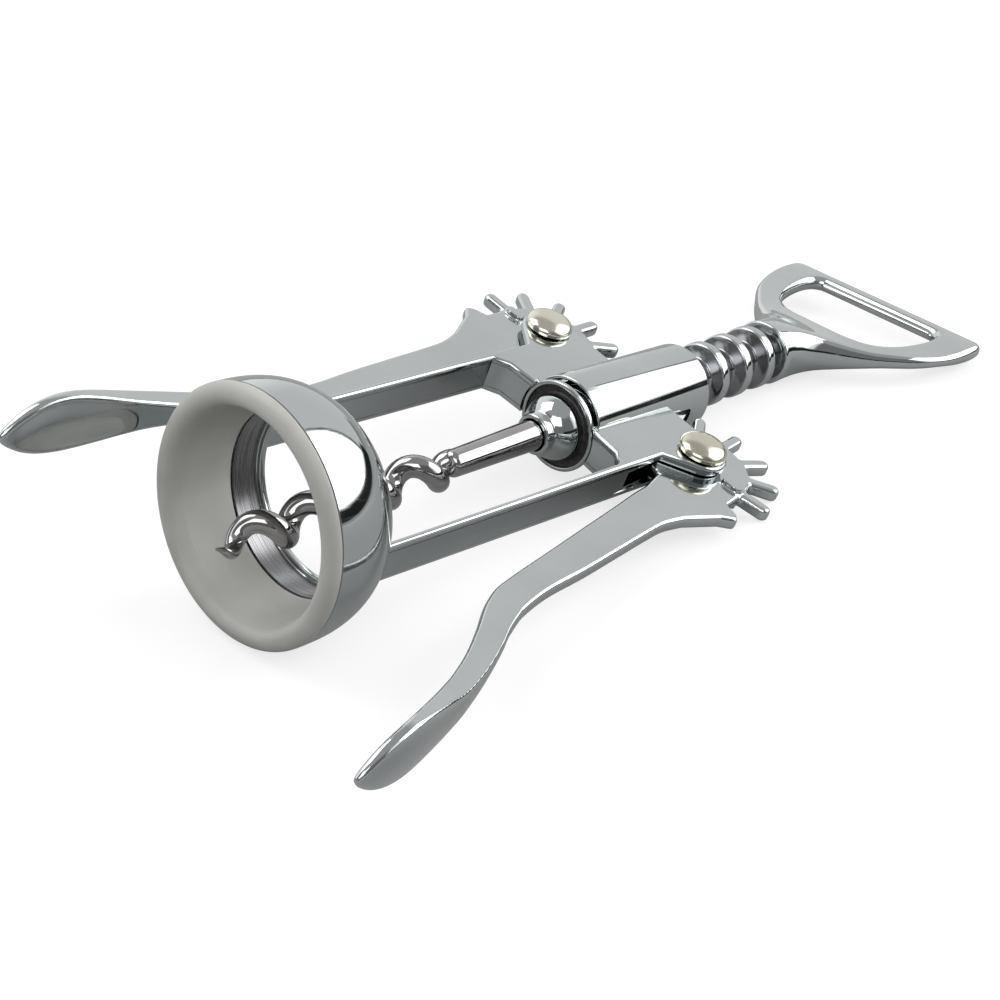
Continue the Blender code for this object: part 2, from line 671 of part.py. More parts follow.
def build_rack(stem, chrome):
    """The turned rack with its ribs, a socket for the shank and a spigot for the handle."""
    start = collar_back() + CLEARANCE
    profile = [(SHANK_RADIUS + CLEARANCE, start), (RACK_CORE_RADIUS, start)]
    for middle in rib_stations():
        profile += [
            (RACK_CORE_RADIUS, middle - RIB_FOOT / 2),
            (RIB_RADIUS, middle - RIB_LAND / 2),
            (RIB_RADIUS, middle + RIB_LAND / 2),
            (RACK_CORE_RADIUS, middle + RIB_FOOT / 2),
        ]
    profile += [
        (RACK_CORE_RADIUS, RACK_END), (SPIGOT_RADIUS, RACK_END), (SPIGOT_RADIUS, RACK_END + SPIGOT_LENGTH),
        (0, RACK_END + SPIGOT_LENGTH), (0, SHANK_SOCKET + CLEARANCE),
        (SHANK_RADIUS + CLEARANCE, SHANK_SOCKET + CLEARANCE),
    ]
    return make_object("rack_stem", turned(profile, STEM_SIDES, closed=True), stem, chrome)


def worm_mesh():
    """The pointed helix: its wire leaves the shank's axis, winds and ends in a point."""
    start = -SHANK_FRONT + 2 * SHANK_SHOULDER
    length = WORM_TIP - SHANK_FRONT + 2 * SHANK_SHOULDER
    turns = length / WORM_PITCH
    steps = round(turns * WORM_STEPS_PER_TURN)
    path, radii = [], []
    for index in range(steps + 1):
        share = index / steps
        ease = min(share / WORM_EASE_SHARE, 1.0)
        point = max((share - 1 + WORM_POINT_SHARE) / WORM_POINT_SHARE, 0.0)
        helix = WORM_HELIX_RADIUS * ease * ease * (3 - 2 * ease)
        helix += (WORM_TIP_OFFSET - WORM_HELIX_RADIUS) * point ** WORM_TURN_IN_POWER
        angle = WORM_PHASE + 2 * math.pi * turns * share
        path.append(Vector((helix * math.cos(angle), start - length * share, helix * math.sin(angle))))
        taper = point ** WORM_POINT_POWER
        radii.append(WORM_WIRE_RADIUS + (WORM_TIP_RADIUS - WORM_WIRE_RADIUS) * taper)
    sections = []
    for index, centre in enumerate(path):
        ahead = path[min(index + 1, steps)] - path[max(index - 1, 0)]
        ahead.normalize()
        side = ahead.cross(Vector((0, -1, 0)))
        # Where the wire still runs straight, its sections keep the side of its first bend
        if side.length < WORM_STRAIGHT_SLOPE:
            side = ahead.cross(Vector((math.cos(WORM_PHASE), 0, math.sin(WORM_PHASE))))
        side.normalize()
        other = ahead.cross(side)
        angles = [2 * math.pi * turn / WIRE_SIDES for turn in range(WIRE_SIDES)]
        sections.append([centre + radii[index] * (math.cos(a) * side + math.sin(a) * other) for a in angles])
    return loft(sections)


def build_worm(stem, steel):
    """The worm: a tapered shank in the rack's socket, joined to the helix."""
    shoulder = arc((SHANK_FRONT_RADIUS - SHANK_SHOULDER, -SHANK_FRONT), (SHANK_SHOULDER, SHANK_SHOULDER),
                   0, -math.pi / 2, CURVE_STEPS // 2)
    profile = [(0, SHANK_SOCKET), (SHANK_RADIUS, SHANK_SOCKET), (SHANK_RADIUS, -SHANK_TAPER_START),
               *shoulder, (0, -SHANK_FRONT - SHANK_SHOULDER)]
    worm = make_object("worm", turned(profile, STEM_SIDES), stem, steel)
    add_boolean(worm, make_cutter("helix_guide", worm_mesh(), stem, steel), "UNION")
    return worm


def handle_section(station, half_width, half_thickness):
    """A section of the handle, square-sided when flat and round at the neck."""
    points = []
    power = 2 / HANDLE_SQUARENESS
    for index in range(STEM_SIDES):
        angle = 2 * math.pi * index / STEM_SIDES
        across, lift = math.cos(angle), math.sin(angle)
        if half_width > half_thickness:
            across = math.copysign(abs(across) ** power, across)
            lift = math.copysign(abs(lift) ** power, lift)
        points.append((half_width * across, station, half_thickness * lift))
    return points


def loop_outline():
    """The loop seen along Z: the shares' half outline, and its mirror image."""
    length = LOOP_END - LOOP_START
    right = [(across * LOOP_HALF_WIDTH, LOOP_START + along * length) for along, across in LOOP_OUTLINE_SHARES]
    return right + [(-x, y) for x, y in reversed(right)]


def build_handle(turn, chrome):
    """The opener handle: a neck that spreads into a flat ring, with a lip rib on its bar."""
    length = HANDLE_END - HANDLE_START
    sections = [handle_section(HANDLE_START, HANDLE_NECK_RADIUS, HANDLE_NECK_RADIUS)]
    for along, width, thickness in HANDLE_STATION_SHARES:
        sections.append(handle_section(HANDLE_START + along * length, width * HANDLE_HALF_WIDTH,
                                       thickness * HANDLE_HALF_THICKNESS))
    handle = make_object("opener_handle", loft(sections), turn, chrome)

    reach = HANDLE_HALF_THICKNESS + OVERRUN
    loop = make_cutter("loop_guide", layered_prism([(-reach, loop_outline()), (reach, loop_outline())]),
                       turn, chrome)
    add_boolean(handle, loop, "DIFFERENCE")
    add_bevel(handle, LOOP_EDGE, 2, math.radians(60))

    straight = LIP_RIB_HALF_LENGTH - LIP_RIB_RADIUS
    rib_profile = arc((0, -straight), (LIP_RIB_RADIUS, LIP_RIB_RADIUS), -math.pi / 2, 0, CURVE_STEPS // 2)
    rib_profile += arc((0, straight), (LIP_RIB_RADIUS, LIP_RIB_RADIUS), 0, math.pi / 2, CURVE_STEPS // 2)
    rib_profile[0] = (0, rib_profile[0][1])
    rib_profile[-1] = (0, rib_profile[-1][1])
    rib_data = turned(rib_profile, STEM_SIDES // 2)
    bmesh.ops.rotate(rib_data, verts=rib_data.verts, matrix=Matrix.Rotation(math.pi / 2, 3, "Z"))
    rib = make_cutter("lip_rib_guide", rib_data, turn, chrome)
    rib.location = (0, LOOP_END, LIP_RIB_LIFT)
    add_boolean(handle, rib, "UNION")

    socket = rod(SPIGOT_RADIUS + CLEARANCE, RACK_END - OVERRUN, RACK_END + SPIGOT_LENGTH + CLEARANCE, STEM_SIDES)
    add_boolean(handle, make_cutter("socket_guide", socket, turn, chrome), "DIFFERENCE")
    return handle


def solid_centre(points, triangles):
    """Volume and first moment of one closed solid, from its triangles."""
    volume, moment = 0, Vector((0, 0, 0))
    for triangle in triangles:
        a, b, c = (points[index] for index in triangle.vertices)
        part = a.dot(b.cross(c)) / 6
        volume += part
        moment += part * (a + b + c) / 4
    return volume, moment


def lay_down(root, pieces):
    """Place the root so that the object lies at rest, leaning on its right lever.

    It lies on the face of its convex hull that is nearest to the centre of mass, among
    those on its underside that slope towards the right lever. The origin comes to lie
    below the middle of the bounding box.
    """
    bpy.context.view_layer.update()
    depsgraph = bpy.context.evaluated_depsgraph_get()
    hull = bmesh.new()
    corners = []
    volume, moment = 0, Vector((0, 0, 0))
    for item in pieces:
        mesh = item.evaluated_get(depsgraph).data
        mesh.calc_loop_triangles()
        points = [item.matrix_world @ vertex.co for vertex in mesh.vertices]
        part, part_moment = solid_centre(points, mesh.loop_triangles)
        volume += part
        moment += part_moment
        corners += points
    for point in corners:
        hull.verts.new(point)
    centre = moment / volume
    bmesh.ops.convex_hull(hull, input=hull.verts)
    best = None
    for face in hull.faces:
        up = -face.normal
        height = up.dot(centre - face.verts[0].co)
        if up.z > 0 and up.x < 0 and (best is None or abs(height) < best[0]):
            best = (abs(height), up.copy(), face.verts[0].co.copy())
    hull.free()
    _, up, contact = best
    along = Vector((0, 1, 0))
    along = (along - along.dot(up) * up).normalized()
    across = along.cross(up)
    middles = []
    for axis in (across, along):
        places = [axis.dot(point) for point in corners]
        middles.append((min(places) + max(places)) / 2)
    turn = Matrix((across, along, up)).to_4x4()
    root.matrix_world = Matrix.Translation((-middles[0], -middles[1], -contact.dot(up))) @ turn


def build():
    clear_scene()
    chrome = make_material("chrome_plate", (0.72, 0.73, 0.74), 0.12, 1.0)
    steel = make_material("worm_steel", (0.66, 0.66, 0.67), 0.16, 1.0)
    nickel = make_material("warm_nickel", (0.74, 0.69, 0.56), 0.16, 1.0)
    plastic = make_material("liner_plastic", (0.72, 0.71, 0.68), 0.45, 0.0)

    root = make_empty("corkscrew", None)
    frame = build_frame(root, chrome)
    liner = build_liner(root, plastic)
    levers = build_levers(root, chrome)
    rivets = [build_rivet(label, side, root, nickel) for side, label in ((1, "right"), (-1, "left"))]

    stem = make_empty("stem", root, (0, BARREL_START + BARREL_LENGTH / 2, 0))
    stem.rotation_euler = (STEM_LEAN, 0, 0)
    cut_collar_seat(frame, stem, chrome)
    collar = build_collar(stem, chrome)
    rack = build_rack(stem, chrome)
    worm = build_worm(stem, steel)
    turn = make_empty("handle_turn", stem)
    turn.rotation_euler = (0, -HANDLE_TURN, 0)
    handle = build_handle(turn, chrome)

    lay_down(root, (frame, liner, *levers, *rivets, collar, rack, worm, handle))


build()
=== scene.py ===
# %% [markdown]
# # A wing corkscrew, dressed for its picture
#
# The solids of the corkscrew come ready made: their sizes, places and joints are fixed.
# This lesson gives each of them a finer piece with rounded edges, polished metal and a
# soft plastic ring, and then lights them and places the camera.

# %% Load the solids
import json
import math

import bmesh
import bpy
from mathutils import Euler, Matrix, Vector


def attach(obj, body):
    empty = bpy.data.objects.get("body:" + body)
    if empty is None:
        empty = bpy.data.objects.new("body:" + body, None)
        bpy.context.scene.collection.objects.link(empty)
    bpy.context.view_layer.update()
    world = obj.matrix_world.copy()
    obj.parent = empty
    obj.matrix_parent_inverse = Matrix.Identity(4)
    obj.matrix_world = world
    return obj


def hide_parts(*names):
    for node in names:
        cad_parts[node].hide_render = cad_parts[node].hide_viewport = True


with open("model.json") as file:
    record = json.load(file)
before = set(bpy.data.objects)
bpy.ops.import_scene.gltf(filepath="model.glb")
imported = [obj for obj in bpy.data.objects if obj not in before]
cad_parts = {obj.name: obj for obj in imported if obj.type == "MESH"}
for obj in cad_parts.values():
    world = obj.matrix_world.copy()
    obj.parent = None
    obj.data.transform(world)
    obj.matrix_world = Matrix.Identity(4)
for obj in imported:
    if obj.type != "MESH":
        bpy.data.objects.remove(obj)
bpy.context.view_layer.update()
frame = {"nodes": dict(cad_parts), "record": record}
print("solids:", sorted(frame["nodes"]))

# %% [markdown]
# The corkscrew lies tilted on the table: it rests on the bell, the end of the barrel and
# one finger. It is far easier to model it straight, with Y along the barrel and Z square
# to the levers, and to lay each finished piece down. The record of the joints tells how
# the real one lies: the hinge axes give Z, and the two rivets give X.

# %% Find the corkscrew's own axes from its joints
PIVOT_OFFSET = 0.02032
PIVOT_STATION = 0.0893
MID_BARREL = 0.09075
STEM_LEAN = 0.05
HANDLE_TURN = math.radians(11.2)
LEVER_PLAY = math.radians(10.7)

joints = {joint["name"]: joint for joint in frame["record"]["behaviour"]["joints"]}
right_rivet = Vector(joints["lever_right_hinge"]["pos_m"])
left_rivet = Vector(joints["lever_left_hinge"]["pos_m"])
up = Vector(joints["lever_right_hinge"]["axis"]).normalized()
across = (right_rivet - left_rivet).normalized()
along = up.cross(across).normalized()
lying = Matrix((across, along, up)).transposed()
origin = right_rivet - lying @ Vector((PIVOT_OFFSET, PIVOT_STATION, 0))
casting_place = Matrix.Translation(origin) @ lying.to_4x4()
stem_place = casting_place @ Matrix.Translation((0, MID_BARREL, 0)) @ Matrix.Rotation(STEM_LEAN, 4, "X")
handle_place = stem_place @ Matrix.Rotation(-HANDLE_TURN, 4, "Y")
print("the barrel points along", tuple(round(value, 3) for value in along))

# %% [markdown]
# The photograph was taken from above the bell's side, at a slight roll. A long lens and
# a camera about 30 cm away give its perspective: the bell looks clearly larger than the
# handle. The camera is placed by its direction seen from the corkscrew, then slid
# sideways so that the tool sits in the frame as it does in the photograph.

# %% Place the camera
CAMERA_AZIMUTH = math.radians(33.327)
CAMERA_ELEVATION = math.radians(33.718)
CAMERA_ROLL = math.radians(21.496)
CAMERA_DISTANCE = 0.299203
CAMERA_SLIDE = (0.039301, 0.002839)
LENS = 70.16

towards = Vector((math.sin(CAMERA_AZIMUTH) * math.cos(CAMERA_ELEVATION),
                  -math.cos(CAMERA_AZIMUTH) * math.cos(CAMERA_ELEVATION),
                  math.sin(CAMERA_ELEVATION)))
level = Vector((math.cos(CAMERA_AZIMUTH), math.sin(CAMERA_AZIMUTH), 0))
upright = towards.cross(level)
sideways = math.cos(CAMERA_ROLL) * level + math.sin(CAMERA_ROLL) * upright
upwards = math.cos(CAMERA_ROLL) * upright - math.sin(CAMERA_ROLL) * level
eye = CAMERA_SLIDE[0] * sideways + CAMERA_SLIDE[1] * upwards + CAMERA_DISTANCE * towards
turned_to = Matrix((sideways, upwards, towards)).transposed().to_4x4()

bpy.ops.object.camera_add()
camera = bpy.context.object
camera.name = "photo_camera"
camera.data.lens = LENS
camera.data.sensor_width = 36
camera.data.clip_start = 0.01
camera.matrix_world = casting_place @ Matrix.Translation(eye) @ turned_to
bpy.context.scene.camera = camera
print("camera at", tuple(round(value, 3) for value in camera.matrix_world.translation))

# %% [markdown]
# Polished metal shows little of its own: what we see is the room around it. The room
# below was worked out from the photograph's reflections: pale grey walls and a darker
# ceiling, two bright soft boxes side by side on the right with a dark frame at their far
# edge, one more on the left, and a dim side behind the camera with a high soft box of
# its own. A black gap at the horizon draws the black streaks along the round edges. The
# camera itself sees plain white behind the table.

# %% Build the room that the metal reflects
# Each panel: centre azimuth, half width, lower and upper elevation, softness (all in
# degrees) and brightness; a later panel hangs in front of an earlier one
WALL_BRIGHTNESS = 0.78
ROOM_PANELS = [
    (-80, 34, -5, 42, 16, 1.05),
    (150, 82, -5, 90, 18, 0.22),
    (-30, 181, 50, 90, 12, 0.46),
    (152, 24, 26, 54, 5, 2.8),
    (-130, 14, 10, 55, 8, 1.4),
    (52, 26, 9, 44, 12, 1.25),
    (17, 19, 9, 44, 3, 2.0),
    (-1, 1.5, 8, 44, 1.2, 0.25),
    (58, 64, 0, 8, 1.5, 0.02),
    (-14, 8, 0, 4, 3, 0.25),
]

world = bpy.data.worlds.new("pale_studio")
bpy.context.scene.world = world
world.use_nodes = True
nodes, links = world.node_tree.nodes, world.node_tree.links
nodes.clear()


def combine(tree, operation, *values):
    """One Math node; each value for its inputs is a socket or a number."""
    node = tree.nodes.new("ShaderNodeMath")
    node.operation = operation
    for socket, value in zip(node.inputs, values):
        if isinstance(value, (int, float)):
            socket.default_value = value
        else:
            tree.links.new(value, socket)
    return node.outputs["Value"]


def soft_step(tree, value, start, end):
    """0 before the start and 1 after the end, with a smooth rise between them."""
    node = tree.nodes.new("ShaderNodeMapRange")
    node.interpolation_type = "SMOOTHSTEP"
    node.inputs["From Min"].default_value = start
    node.inputs["From Max"].default_value = end
    tree.links.new(value, node.inputs["Value"])
    return node.outputs["Result"]


def ramp(tree, factor, stops):
    """A factor turned into a colour by (position, grey or colour) stops."""
    node = tree.nodes.new("ShaderNodeValToRGB")
    elements = node.color_ramp.elements
    elements.remove(elements[1])
    elements[0].position = stops[0][0]
    for count, (position, value) in enumerate(stops):
        element = elements.new(position) if count else elements[0]
        element.color = (value, value, value, 1) if isinstance(value, float) else (*value, 1)
    tree.links.new(factor, node.inputs["Fac"])
    return node.outputs["Color"]


direction = nodes.new("ShaderNodeTexCoord")
parts = nodes.new("ShaderNodeSeparateXYZ")
links.new(direction.outputs["Generated"], parts.inputs["Vector"])
room_tree = world.node_tree
azimuth = combine(room_tree, "ARCTAN2", parts.outputs["X"], parts.outputs["Y"])
azimuth = combine(room_tree, "DEGREES", azimuth)
elevation = combine(room_tree, "DEGREES", combine(room_tree, "ARCSINE", parts.outputs["Z"]))
brightness = None
for centre, half_width, low, high, softness, strength in ROOM_PANELS:
    # The angle between the direction and the panel's middle, whichever way round is nearer
    turned_away = combine(room_tree, "SUBTRACT", azimuth, centre)
    apart = combine(room_tree, "ABSOLUTE", combine(room_tree, "WRAP", turned_away, 180.0, -180.0))
    half_soft = softness / 2
    beside = soft_step(room_tree, apart, half_width - half_soft, half_width + half_soft)
    over_low = soft_step(room_tree, elevation, low - half_soft, low + half_soft)
    inside = combine(room_tree, "MULTIPLY", combine(room_tree, "SUBTRACT", 1.0, beside), over_low)
    if high < 90:
        above = soft_step(room_tree, elevation, high - half_soft, high + half_soft)
        inside = combine(room_tree, "MULTIPLY", inside, combine(room_tree, "SUBTRACT", 1.0, above))
    blend = nodes.new("ShaderNodeMix")
    links.new(inside, blend.inputs[0])
    blend.inputs[2].default_value = WALL_BRIGHTNESS
    if brightness is not None:
        links.new(brightness, blend.inputs[2])
    blend.inputs[3].default_value = strength
    brightness = blend.outputs[0]
seen_room = nodes.new("ShaderNodeBackground")
seen_room.inputs["Color"].default_value = (1, 1, 1, 1)
links.new(brightness, seen_room.inputs["Strength"])
white = nodes.new("ShaderNodeBackground")
white.inputs["Color"].default_value = (1, 1, 1, 1)
path = nodes.new("ShaderNodeLightPath")
direct = combine(room_tree, "MAXIMUM", path.outputs["Is Camera Ray"], path.outputs["Is Transmission Ray"])
choose = nodes.new("ShaderNodeMixShader")
links.new(direct, choose.inputs["Fac"])
links.new(seen_room.outputs["Background"], choose.inputs[1])
links.new(white.outputs["Background"], choose.inputs[2])
surface = nodes.new("ShaderNodeOutputWorld")
links.new(choose.outputs["Shader"], surface.inputs["Surface"])
print("panels in the room:", len(ROOM_PANELS))

# %% [markdown]
# The table is a wide pale grey sheet. The camera sees it with some light of its own, so
# that it reads as the white background of the photograph while the soft shadow stays.
# The metal sees much less of that light, since the photograph's undersides are grey.
# Two large soft lamps give the shadow its direction.

# %% Lay the table and hang the lamps
TABLE_GREY = 0.31
TABLE_GLOW = 0.72
TABLE_GLOW_IN_METAL = 0.06


def new_material(name):
    """A new material, its node tree and its main shader."""
    material = bpy.data.materials.new(name)
    material.use_nodes = True
    tree = material.node_tree
    return material, tree, tree.nodes["Principled BSDF"]


bpy.ops.mesh.primitive_plane_add(size=8, location=(0, 0, 0))
table = bpy.context.object
table.name = "table"
paper, tree, sheet = new_material("White paper")
sheet.inputs["Base Color"].default_value = (TABLE_GREY, TABLE_GREY, TABLE_GREY, 1)
sheet.inputs["Roughness"].default_value = 0.9
sheet.inputs["Specular IOR Level"].default_value = 0.2
sheet.inputs["Emission Color"].default_value = (1, 1, 1, 1)
path = tree.nodes.new("ShaderNodeLightPath")
direct = combine(tree, "MAXIMUM", path.outputs["Is Camera Ray"], path.outputs["Is Transmission Ray"])
in_metal = combine(tree, "MULTIPLY", path.outputs["Is Glossy Ray"], TABLE_GLOW_IN_METAL)
glow = combine(tree, "MAXIMUM", combine(tree, "MULTIPLY", direct, TABLE_GLOW), in_metal)
tree.links.new(glow, sheet.inputs["Emission Strength"])
table.data.materials.append(paper)


def soft_lamp(name, place, size, power):
    """A square lamp at a place, aimed at the middle of the corkscrew."""
    bpy.ops.object.light_add(type="AREA", location=place)
    lamp = bpy.context.object
    lamp.name = name
    lamp.data.size = size
    lamp.data.energy = power
    lamp.rotation_euler = (-Vector(place)).to_track_quat("-Z", "Y").to_euler()
    return lamp


soft_lamp("lamp_right", (0.62, 0.75, 0.62), 0.9, 6.0)
soft_lamp("lamp_left", (-0.65, -0.25, 0.95), 0.7, 4.0)
print("lamps: 2")

# %% [markdown]
# ## Finishes
#
# Chrome on a zinc casting is nearly a mirror, but never a perfect one. The casting under
# it waves a little, polishing leaves fine lines, and handling leaves hairline scratches
# and faint smears that make the shine softer in patches. The rack's grooves get a rougher
# plating, and their darker colour is painted shade. All of this is drawn
# with noise in the piece's own place, so that it stays on the metal when that moves. The
# pattern follows the corkscrew's axes: a Mapping node turns the coordinates straight.

# %% Build the polished metals
lying_angles = lying.to_euler()


def straight_coordinates(tree):
    """Object coordinates, turned so that Y runs along the corkscrew's barrel."""
    source = tree.nodes.new("ShaderNodeTexCoord")
    mapping = tree.nodes.new("ShaderNodeMapping")
    mapping.vector_type = "TEXTURE"
    mapping.inputs["Location"].default_value = origin
    mapping.inputs["Rotation"].default_value = lying_angles
    tree.links.new(source.outputs["Object"], mapping.inputs["Vector"])
    return mapping.outputs["Vector"]


def stretched_noise(tree, vector, stretch, scale, detail):
    """Noise whose grain is stretched by a factor along each axis."""
    mapping = tree.nodes.new("ShaderNodeMapping")
    mapping.inputs["Scale"].default_value = stretch
    tree.links.new(vector, mapping.inputs["Vector"])
    noise = tree.nodes.new("ShaderNodeTexNoise")
    noise.inputs["Scale"].default_value = scale
    noise.inputs["Detail"].default_value = detail
    tree.links.new(mapping.outputs["Vector"], noise.inputs["Vector"])
    return noise.outputs["Fac"]


def add_bump(tree, shader, height_socket, depth, previous=None):
    """A bump of the given depth in metres, on top of a previous one."""
    bump = tree.nodes.new("ShaderNodeBump")
    bump.inputs["Distance"].default_value = depth
    tree.links.new(height_socket, bump.inputs["Height"])
    if previous is not None:
        tree.links.new(previous, bump.inputs["Normal"])
    tree.links.new(bump.outputs["Normal"], shader.inputs["Normal"])
    return bump.outputs["Normal"]


def polished_metal(name, colour, shade, gloss, wave_depth, scratch_stretch):
    """Plated metal: a base colour with faint stains, smears, hairlines and edge wear."""
    material, tree, shader = new_material(name)
    shader.inputs["Metallic"].default_value = 1.0
    vector = straight_coordinates(tree)

    stains = stretched_noise(tree, vector, (1, 1, 1), 70, 3)
    tint = ramp(tree, stains, [(0.35, shade), (0.65, colour)])
    tree.links.new(tint, shader.inputs["Base Color"])

    smears = stretched_noise(tree, vector, (1, 0.6, 1), 160, 4)
    smears = ramp(tree, smears, [(0.42, 0.0), (0.72, 1.0)])
    hairs = stretched_noise(tree, vector, scratch_stretch, 2600, 2)
    hairs = ramp(tree, hairs, [(0.60, 0.0), (0.68, 1.0)])
    edges = tree.nodes.new("ShaderNodeNewGeometry").outputs["Pointiness"]
    worn = ramp(tree, edges, [(0.50, 0.0), (0.62, 1.0)])
    rough = combine(tree, "MULTIPLY_ADD", smears, 0.045, gloss)
    rough = combine(tree, "MULTIPLY_ADD", hairs, 0.05, rough)
    rough = combine(tree, "MULTIPLY_ADD", worn, 0.04, rough)
    tree.links.new(rough, shader.inputs["Roughness"])

    waves = stretched_noise(tree, vector, (1, 0.7, 1), 85, 1)
    normal = add_bump(tree, shader, waves, wave_depth)
    peel = stretched_noise(tree, vector, (1, 1, 1), 900, 2)
    normal = add_bump(tree, shader, peel, 0.0000012, normal)
    add_bump(tree, shader, hairs, 0.0000006, normal)
    return material


chrome = polished_metal("Polished chrome plate", (0.57, 0.60, 0.60), (0.53, 0.56, 0.56), 0.045,
                        0.00006, (1, 0.06, 1))
worm_metal = polished_metal("Plated worm wire", (0.45, 0.45, 0.455), (0.38, 0.37, 0.36), 0.035,
                            0.00002, (1, 0.2, 1))
warm_metal = polished_metal("Warm nickel rivet", (0.74, 0.72, 0.62), (0.66, 0.635, 0.52), 0.16,
                            0.00001, (1, 1, 1))
# Painted shade: the grooves' plating is drawn much darker than the chrome
groove_shade_plating = polished_metal("Rough plating with painted shade in the rack's grooves", (0.44, 0.45, 0.46),
                            (0.20, 0.205, 0.215), 0.13, 0.00005, (1, 1, 1))
print("metals:", chrome.name, worm_metal.name, warm_metal.name, groove_shade_plating.name)

# %% [markdown]
# The bore inside the bell was faced on a lathe: the tool left fine rings around it. The
# angle about the barrel and the place along it are worked out from the straight
# coordinates, and noise that is long in angle and very short along the bore makes rings.
# The bore's metal is also painted very dark, as painted shade deep inside the bell.
# The ring-shaped hollow in the collar is painted near black as shade; it is rough and not metal.

# %% Build the turned bore with painted shade, and the painted shade in the collar's hollow
shaded_bore_metal, tree, shader = new_material("Lathe turned bore with painted shade")
shader.inputs["Metallic"].default_value = 1.0
split = tree.nodes.new("ShaderNodeSeparateXYZ")
tree.links.new(straight_coordinates(tree), split.inputs["Vector"])
angle = combine(tree, "ARCTAN2", split.outputs["X"], split.outputs["Z"])
round_bore = tree.nodes.new("ShaderNodeCombineXYZ")
tree.links.new(angle, round_bore.inputs["X"])
tree.links.new(combine(tree, "MULTIPLY", split.outputs["Y"], 6000.0), round_bore.inputs["Y"])
ring_noise = tree.nodes.new("ShaderNodeTexNoise")
ring_noise.inputs["Scale"].default_value = 1.0
ring_noise.inputs["Detail"].default_value = 3
tree.links.new(round_bore.outputs["Vector"], ring_noise.inputs["Vector"])
rings = ring_noise.outputs["Fac"]
# Lathe rings in a very dark colour: real rings, with painted shade inside the bell
bore_rings_and_shade = ramp(tree, rings, [(0.3, (0.10, 0.10, 0.105)), (0.7, (0.36, 0.36, 0.365))])
tree.links.new(bore_rings_and_shade, shader.inputs["Base Color"])
tree.links.new(combine(tree, "MULTIPLY_ADD", rings, 0.22, 0.16), shader.inputs["Roughness"])
add_bump(tree, shader, rings, 0.00001)

# Painted shade: the collar's hollow ring is drawn near black, with noise in it
groove_shade_metal, tree, shader = new_material("Painted shade in the collar's hollow")
groove_shade_noise = stretched_noise(tree, straight_coordinates(tree), (1, 1, 1), 900, 3)
tree.links.new(ramp(tree, groove_shade_noise, [(0.35, 0.012), (0.7, 0.05)]), shader.inputs["Base Color"])
tree.links.new(combine(tree, "MULTIPLY_ADD", groove_shade_noise, 0.3, 0.35), shader.inputs["Roughness"])
add_bump(tree, shader, groove_shade_noise, 0.00001)
print("bore finish:", shaded_bore_metal.name, "and", groove_shade_metal.name)

# %% [markdown]
# The ring in the bell's mouth is moulded plastic, warm and light grey, with a satin skin.
# Its colour is a little uneven, it holds a trace of dust, and its surface has the very
# fine grain of a spark-eroded mould.

# %% Build the liner's plastic
soft_plastic, tree, shader = new_material("Warm grey moulded plastic")
shader.inputs["IOR"].default_value = 1.49
shader.inputs["Subsurface Weight"].default_value = 0.08
shader.inputs["Subsurface Scale"].default_value = 0.001
vector = straight_coordinates(tree)
clouds = stretched_noise(tree, vector, (1, 1, 1), 110, 4)
cloud_tint = ramp(tree, clouds, [(0.3, (0.44, 0.44, 0.415)), (0.7, (0.51, 0.51, 0.485))])
tree.links.new(cloud_tint, shader.inputs["Base Color"])
tree.links.new(combine(tree, "MULTIPLY_ADD", clouds, 0.18, 0.33), shader.inputs["Roughness"])
grain = stretched_noise(tree, vector, (1, 1, 1), 5200, 2)
add_bump(tree, shader, grain, 0.000004)
print("plastic:", soft_plastic.name)

# %% [markdown]
# ## Ways of making a piece
#
# Nearly all the pieces here start in one of two ways. A turned piece is half of its
# outline, spun about the barrel's axis. A flat piece is its outline, filled and drawn up
# to its thickness. Both start from a circle whose corners are moved to the outline.

# %% Helpers for outlines, turned pieces and lofts


def select_nothing():
    """Leave edit mode and clear the selection."""
    if bpy.context.object and bpy.context.object.mode != "OBJECT":
        bpy.ops.object.mode_set(mode="OBJECT")
    bpy.ops.object.select_all(action="DESELECT")


def arc(centre, radii, start, end, steps):
    """Points on an elliptical arc from one angle in degrees to another."""
    angles = [math.radians(start + (end - start) * step / steps) for step in range(steps + 1)]
    return [(centre[0] + radii[0] * math.cos(a), centre[1] + radii[1] * math.sin(a)) for a in angles]


def corner_ring(name, points, fill="NOTHING"):
    """A circle with its corners moved to the given points, left in edit mode, selected."""
    select_nothing()
    bpy.ops.mesh.primitive_circle_add(vertices=len(points), radius=0.01, fill_type=fill)
    piece = bpy.context.object
    piece.name = name
    for vertex, point in zip(piece.data.vertices, points):
        vertex.co = (*point, 0) if len(point) == 2 else point
    bpy.ops.object.mode_set(mode="EDIT")
    bpy.ops.mesh.select_all(action="SELECT")
    return piece


def turned(name, profile, steps=96, closed=False):
    """Spin a profile of (radius, place along Y) once about Y."""
    piece = corner_ring(name, profile)
    if not closed:
        mesh = bmesh.from_edit_mesh(piece.data)
        mesh.edges.ensure_lookup_table()
        ends = {0, len(profile) - 1}
        gap = [edge for edge in mesh.edges if {vertex.index for vertex in edge.verts} == ends]
        bmesh.ops.delete(mesh, geom=gap, context="EDGES_FACES")
        bmesh.update_edit_mesh(piece.data)
    bpy.ops.mesh.spin(steps=steps, angle=2 * math.pi, center=(0, 0, 0), axis=(0, 1, 0))
    bpy.ops.mesh.select_all(action="SELECT")
    bpy.ops.mesh.remove_doubles(threshold=0.000002)
    bpy.ops.mesh.normals_make_consistent(inside=False)
    bpy.ops.object.mode_set(mode="OBJECT")
    return piece


